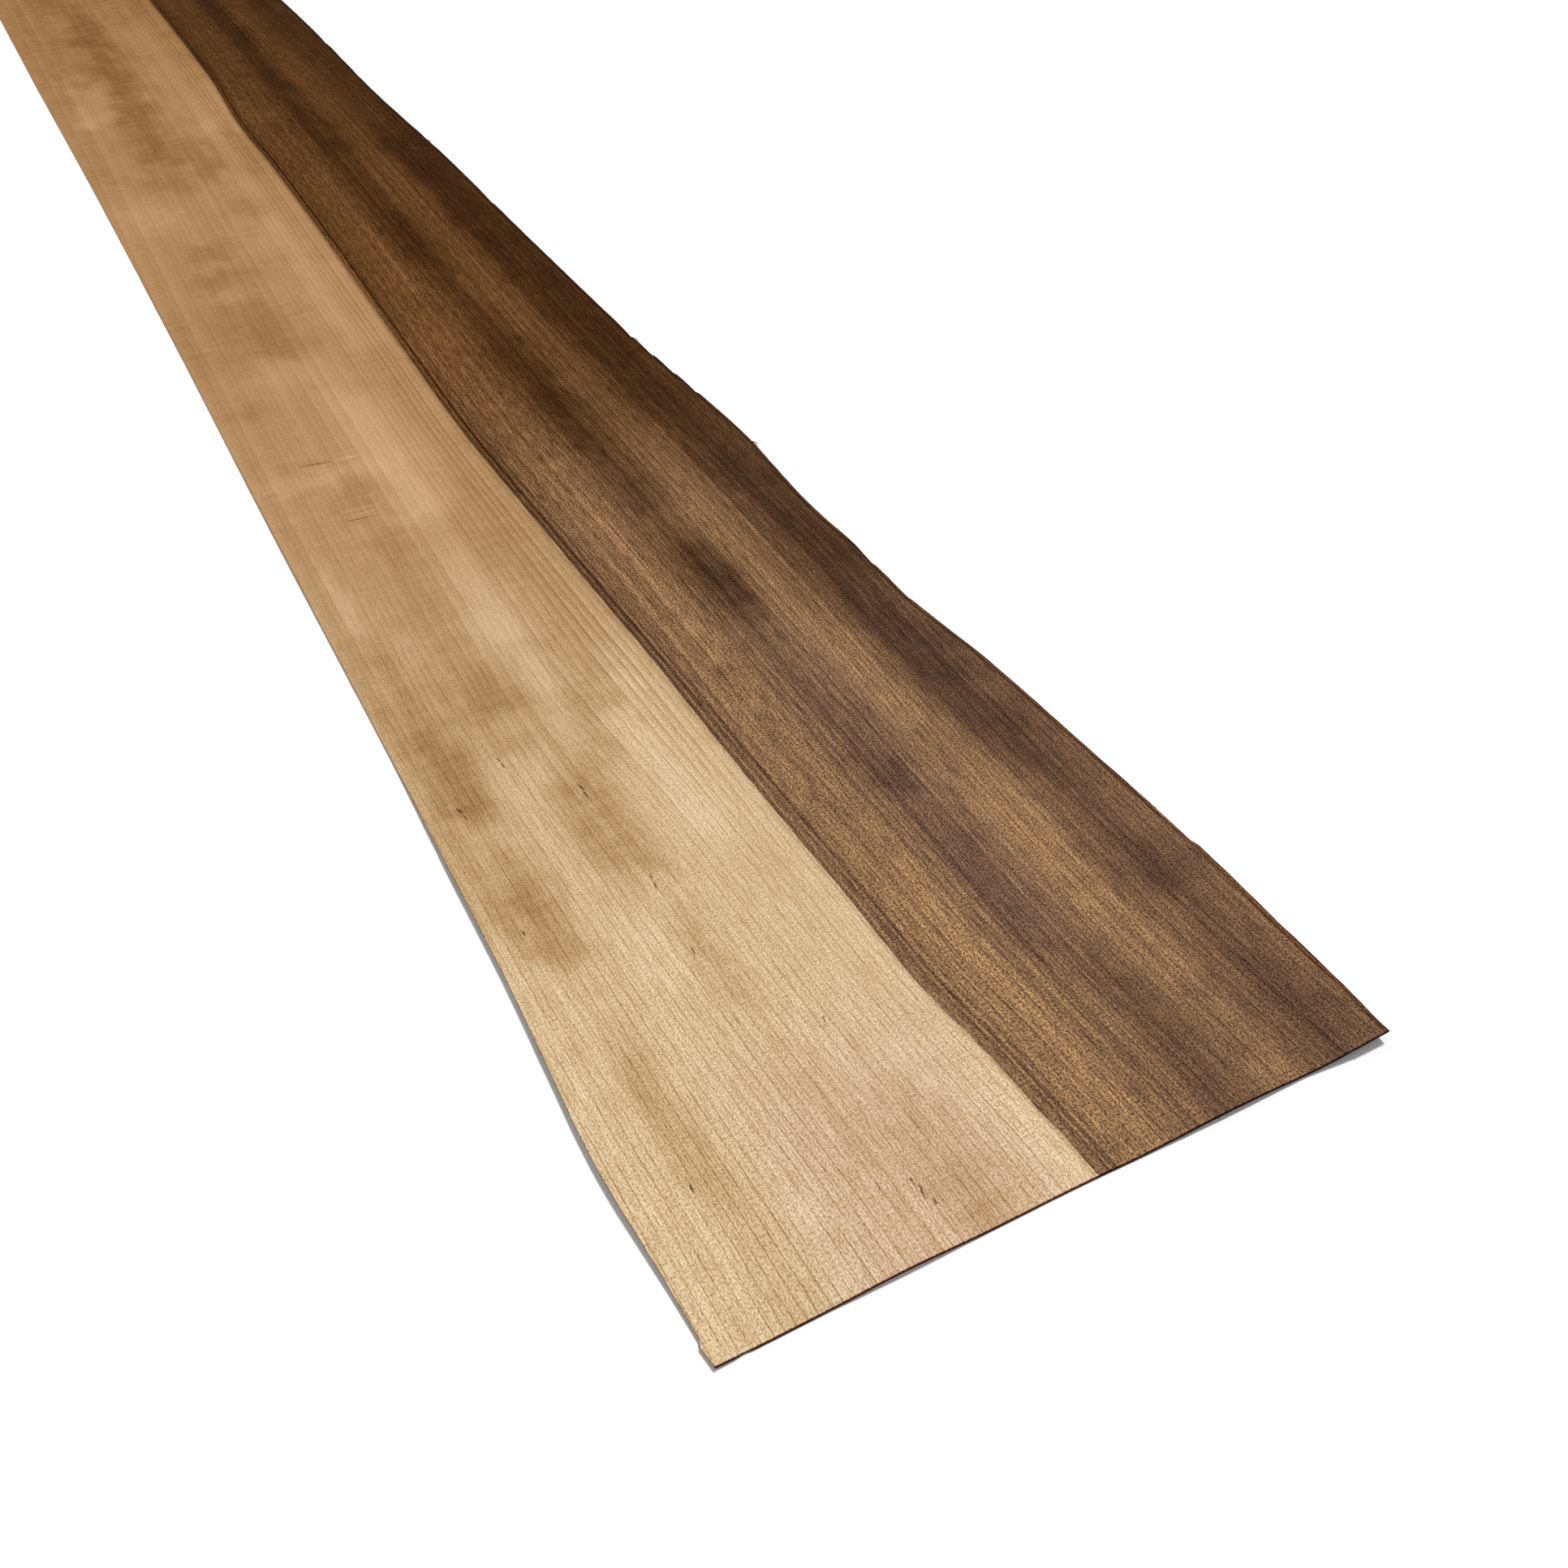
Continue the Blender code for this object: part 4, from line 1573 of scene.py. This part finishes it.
    def ring(self, station: np.ndarray, offset: np.ndarray) -> np.ndarray:
        """Offset at which the ring through each point meets the near cut.

        Args:
            station: distance of each point from the near cut.
            offset: distance of each point from the sapwood corner's line.

        Returns:
            That offset for each point.
        """
        places = [through(path, station) for path in RING_PATHS]
        starts = [path[0][1] for path in RING_PATHS]
        rings = starts[0] + offset - places[0]
        for index in range(len(RING_PATHS) - 1):
            share = (offset - places[index]) / (places[index + 1] - places[index])
            between = starts[index] + (starts[index + 1] - starts[index]) * share
            rings = np.where(share > 0.0, between, rings)
        return np.where(offset > places[-1], starts[-1] + offset - places[-1], rings)

    def figure(self, station: np.ndarray, offset: np.ndarray) -> np.ndarray:
        """Strength of the soft figure at each point.

        Args:
            station: distance of each point from the near cut.
            offset: distance of each point from the sapwood corner's line.

        Returns:
            The strength, above 0 in brown or dusky patches and below 0 in pale ones.
        """
        total = np.zeros_like(station)
        wander = self._waver(station, offset, (60.0, 90.0, 2.0))
        stray = PATCH_STRAY_ACROSS * self._waver(station, offset, (45.0, 160.0, 9.0))
        drift = self._waver(station, offset, (30.0, 35.0, 5.0))
        stray = stray + PATCH_DRIFT * drift * ramp(station, PATCH_DRIFT_FROM, PATCH_DRIFT_FULL)
        for patch in SAPWOOD_PATCHES + HEARTWOOD_PATCHES:
            total += patch.value(station + PATCH_STRAY_ALONG * wander, offset + stray)
        return total

    def _waver(
        self, station: np.ndarray, offset: np.ndarray, kind: tuple[float, float, float]
    ) -> np.ndarray:
        """Noise around 0 at each point.

        Args:
            station: distance of each point from the near cut.
            offset: distance of each point from the sapwood corner's line.
            kind: cells to the metre along and across the leaf, and the number of the pattern.

        Returns:
            The noise, from -1 to 1.
        """
        lengthwise, crosswise, pattern = kind
        spots = [(s * lengthwise, t * crosswise, pattern) for s, t in zip(station, offset)]
        return np.array([noise.noise(Vector(spot)) for spot in spots])

    def age(self, station: np.ndarray, across: np.ndarray) -> np.ndarray:
        """How far the colour has gone to the darker far colours at each point, partly deeper wood and partly
        painted shade, at each kind of wood's own pace.

        Args:
            station: distance of each point from the near cut.
            across: distance from the heart line, below 0 in the sapwood.

        Returns:
            0 at the near colours and 1 at the darker far ones.
        """
        pale, dark = np.array(SAPWOOD_DEEPENING_AND_SHADE), np.array(HEARTWOOD_DEEPENING_AND_SHADE)
        in_sapwood = np.interp(station, pale[:, 0], pale[:, 1])
        in_heartwood = np.interp(station, dark[:, 0], dark[:, 1])
        return np.where(across < 0.0, in_sapwood, in_heartwood)


@dataclass
class Studio:
    """The white floor, the lamps, the world and the camera."""

    floor_size: float = 9.0
    floor_albedo: float = 0.95
    floor_glow: float = 0.04
    key_direction: tuple[float, float, float] = (-0.42, 0.75, 1.0)
    key_softness: float = 8.0
    key_strength: float = 2.89
    world_light: float = 0.34
    camera_place: tuple[float, float, float] = (1.4065, -0.2056, 0.3958)
    camera_heading: tuple[float, float] = (-0.88, 0.475)
    camera_pitch: float = 41.45
    lens: float = 34.66

    def build(self) -> None:
        """Set up the whole studio."""
        self._floor()
        self._lamps()
        self._world()
        self._camera()
        bpy.context.scene.view_settings.view_transform = "Standard"

    def _floor(self) -> None:
        """White floor that keeps the leaf's shadow."""
        bpy.ops.object.select_all(action="DESELECT")
        bpy.ops.mesh.primitive_plane_add(size=self.floor_size, location=(0.0, 0.0, -0.00002))
        floor = bpy.context.object
        floor.name = "floor"
        material = bpy.data.materials.new("white_floor")
        material.use_nodes = True
        graph = Graph(material.node_tree)
        shader = material.node_tree.nodes["Principled BSDF"]
        level = self.floor_albedo
        shader.inputs["Base Color"].default_value = (level, level, level, 1.0)
        shader.inputs["Roughness"].default_value = 0.9
        shader.inputs["Specular IOR Level"].default_value = 0.1
        shader.inputs["Emission Color"].default_value = (1.0, 1.0, 1.0, 1.0)
        seen = graph.node("LightPath").outputs["Is Camera Ray"]
        graph.feed(shader.inputs["Emission Strength"], graph.math("MULTIPLY", seen, self.floor_glow))
        floor.data.materials.append(material)

    def _lamps(self) -> None:
        """One key light, from the far left and above."""
        lamp = bpy.data.lights.new("key", "SUN")
        lamp.angle = math.radians(self.key_softness)
        lamp.energy = self.key_strength
        key = bpy.data.objects.new("key", lamp)
        key.rotation_euler = Vector(self.key_direction).to_track_quat("Z", "Y").to_euler()
        bpy.context.scene.collection.objects.link(key)

    def _world(self) -> None:
        """White surroundings: full white to the camera, softer as light."""
        world = bpy.data.worlds.new("studio")
        bpy.context.scene.world = world
        world.use_nodes = True
        graph = Graph(world.node_tree)
        seen = graph.node("LightPath").outputs["Is Camera Ray"]
        background = world.node_tree.nodes["Background"]
        background.inputs["Color"].default_value = (1.0, 1.0, 1.0, 1.0)
        level = graph.math("MULTIPLY_ADD", seen, 1.0 - self.world_light, self.world_light)
        graph.feed(background.inputs["Strength"], level)

    def _camera(self) -> None:
        """Camera at the photograph's place and angle."""
        data = bpy.data.cameras.new("camera")
        data.lens = self.lens
        data.sensor_width = 36.0
        camera = bpy.data.objects.new("camera", data)
        bpy.context.scene.collection.objects.link(camera)
        pitch = math.radians(self.camera_pitch)
        across, along = self.camera_heading
        level = math.hypot(across, along)
        aim = Vector((across / level * math.cos(pitch), along / level * math.cos(pitch), -math.sin(pitch)))
        camera.location = self.camera_place
        camera.rotation_euler = aim.to_track_quat("-Z", "Y").to_euler()
        bpy.context.scene.camera = camera


def main() -> None:
    """Build the studio and the leaf."""
    Studio().build()
    LOG.info("studio: floor, key lamp, world and camera")
    layout = Layout(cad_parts["veneer_sheet"])
    veneer = VeneerLeaf(layout)
    leaf = veneer.build()
    veneer.dress(leaf, VeneerFinish().build(GrainGroups()))
    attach(leaf, "root")
    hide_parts("veneer_sheet")
    LOG.info("veneer_leaf: %d vertices, %d faces", len(leaf.data.vertices), len(leaf.data.polygons))


if __name__ == "__main__":
    logging.basicConfig(level=logging.INFO, format="%(message)s")
    main()
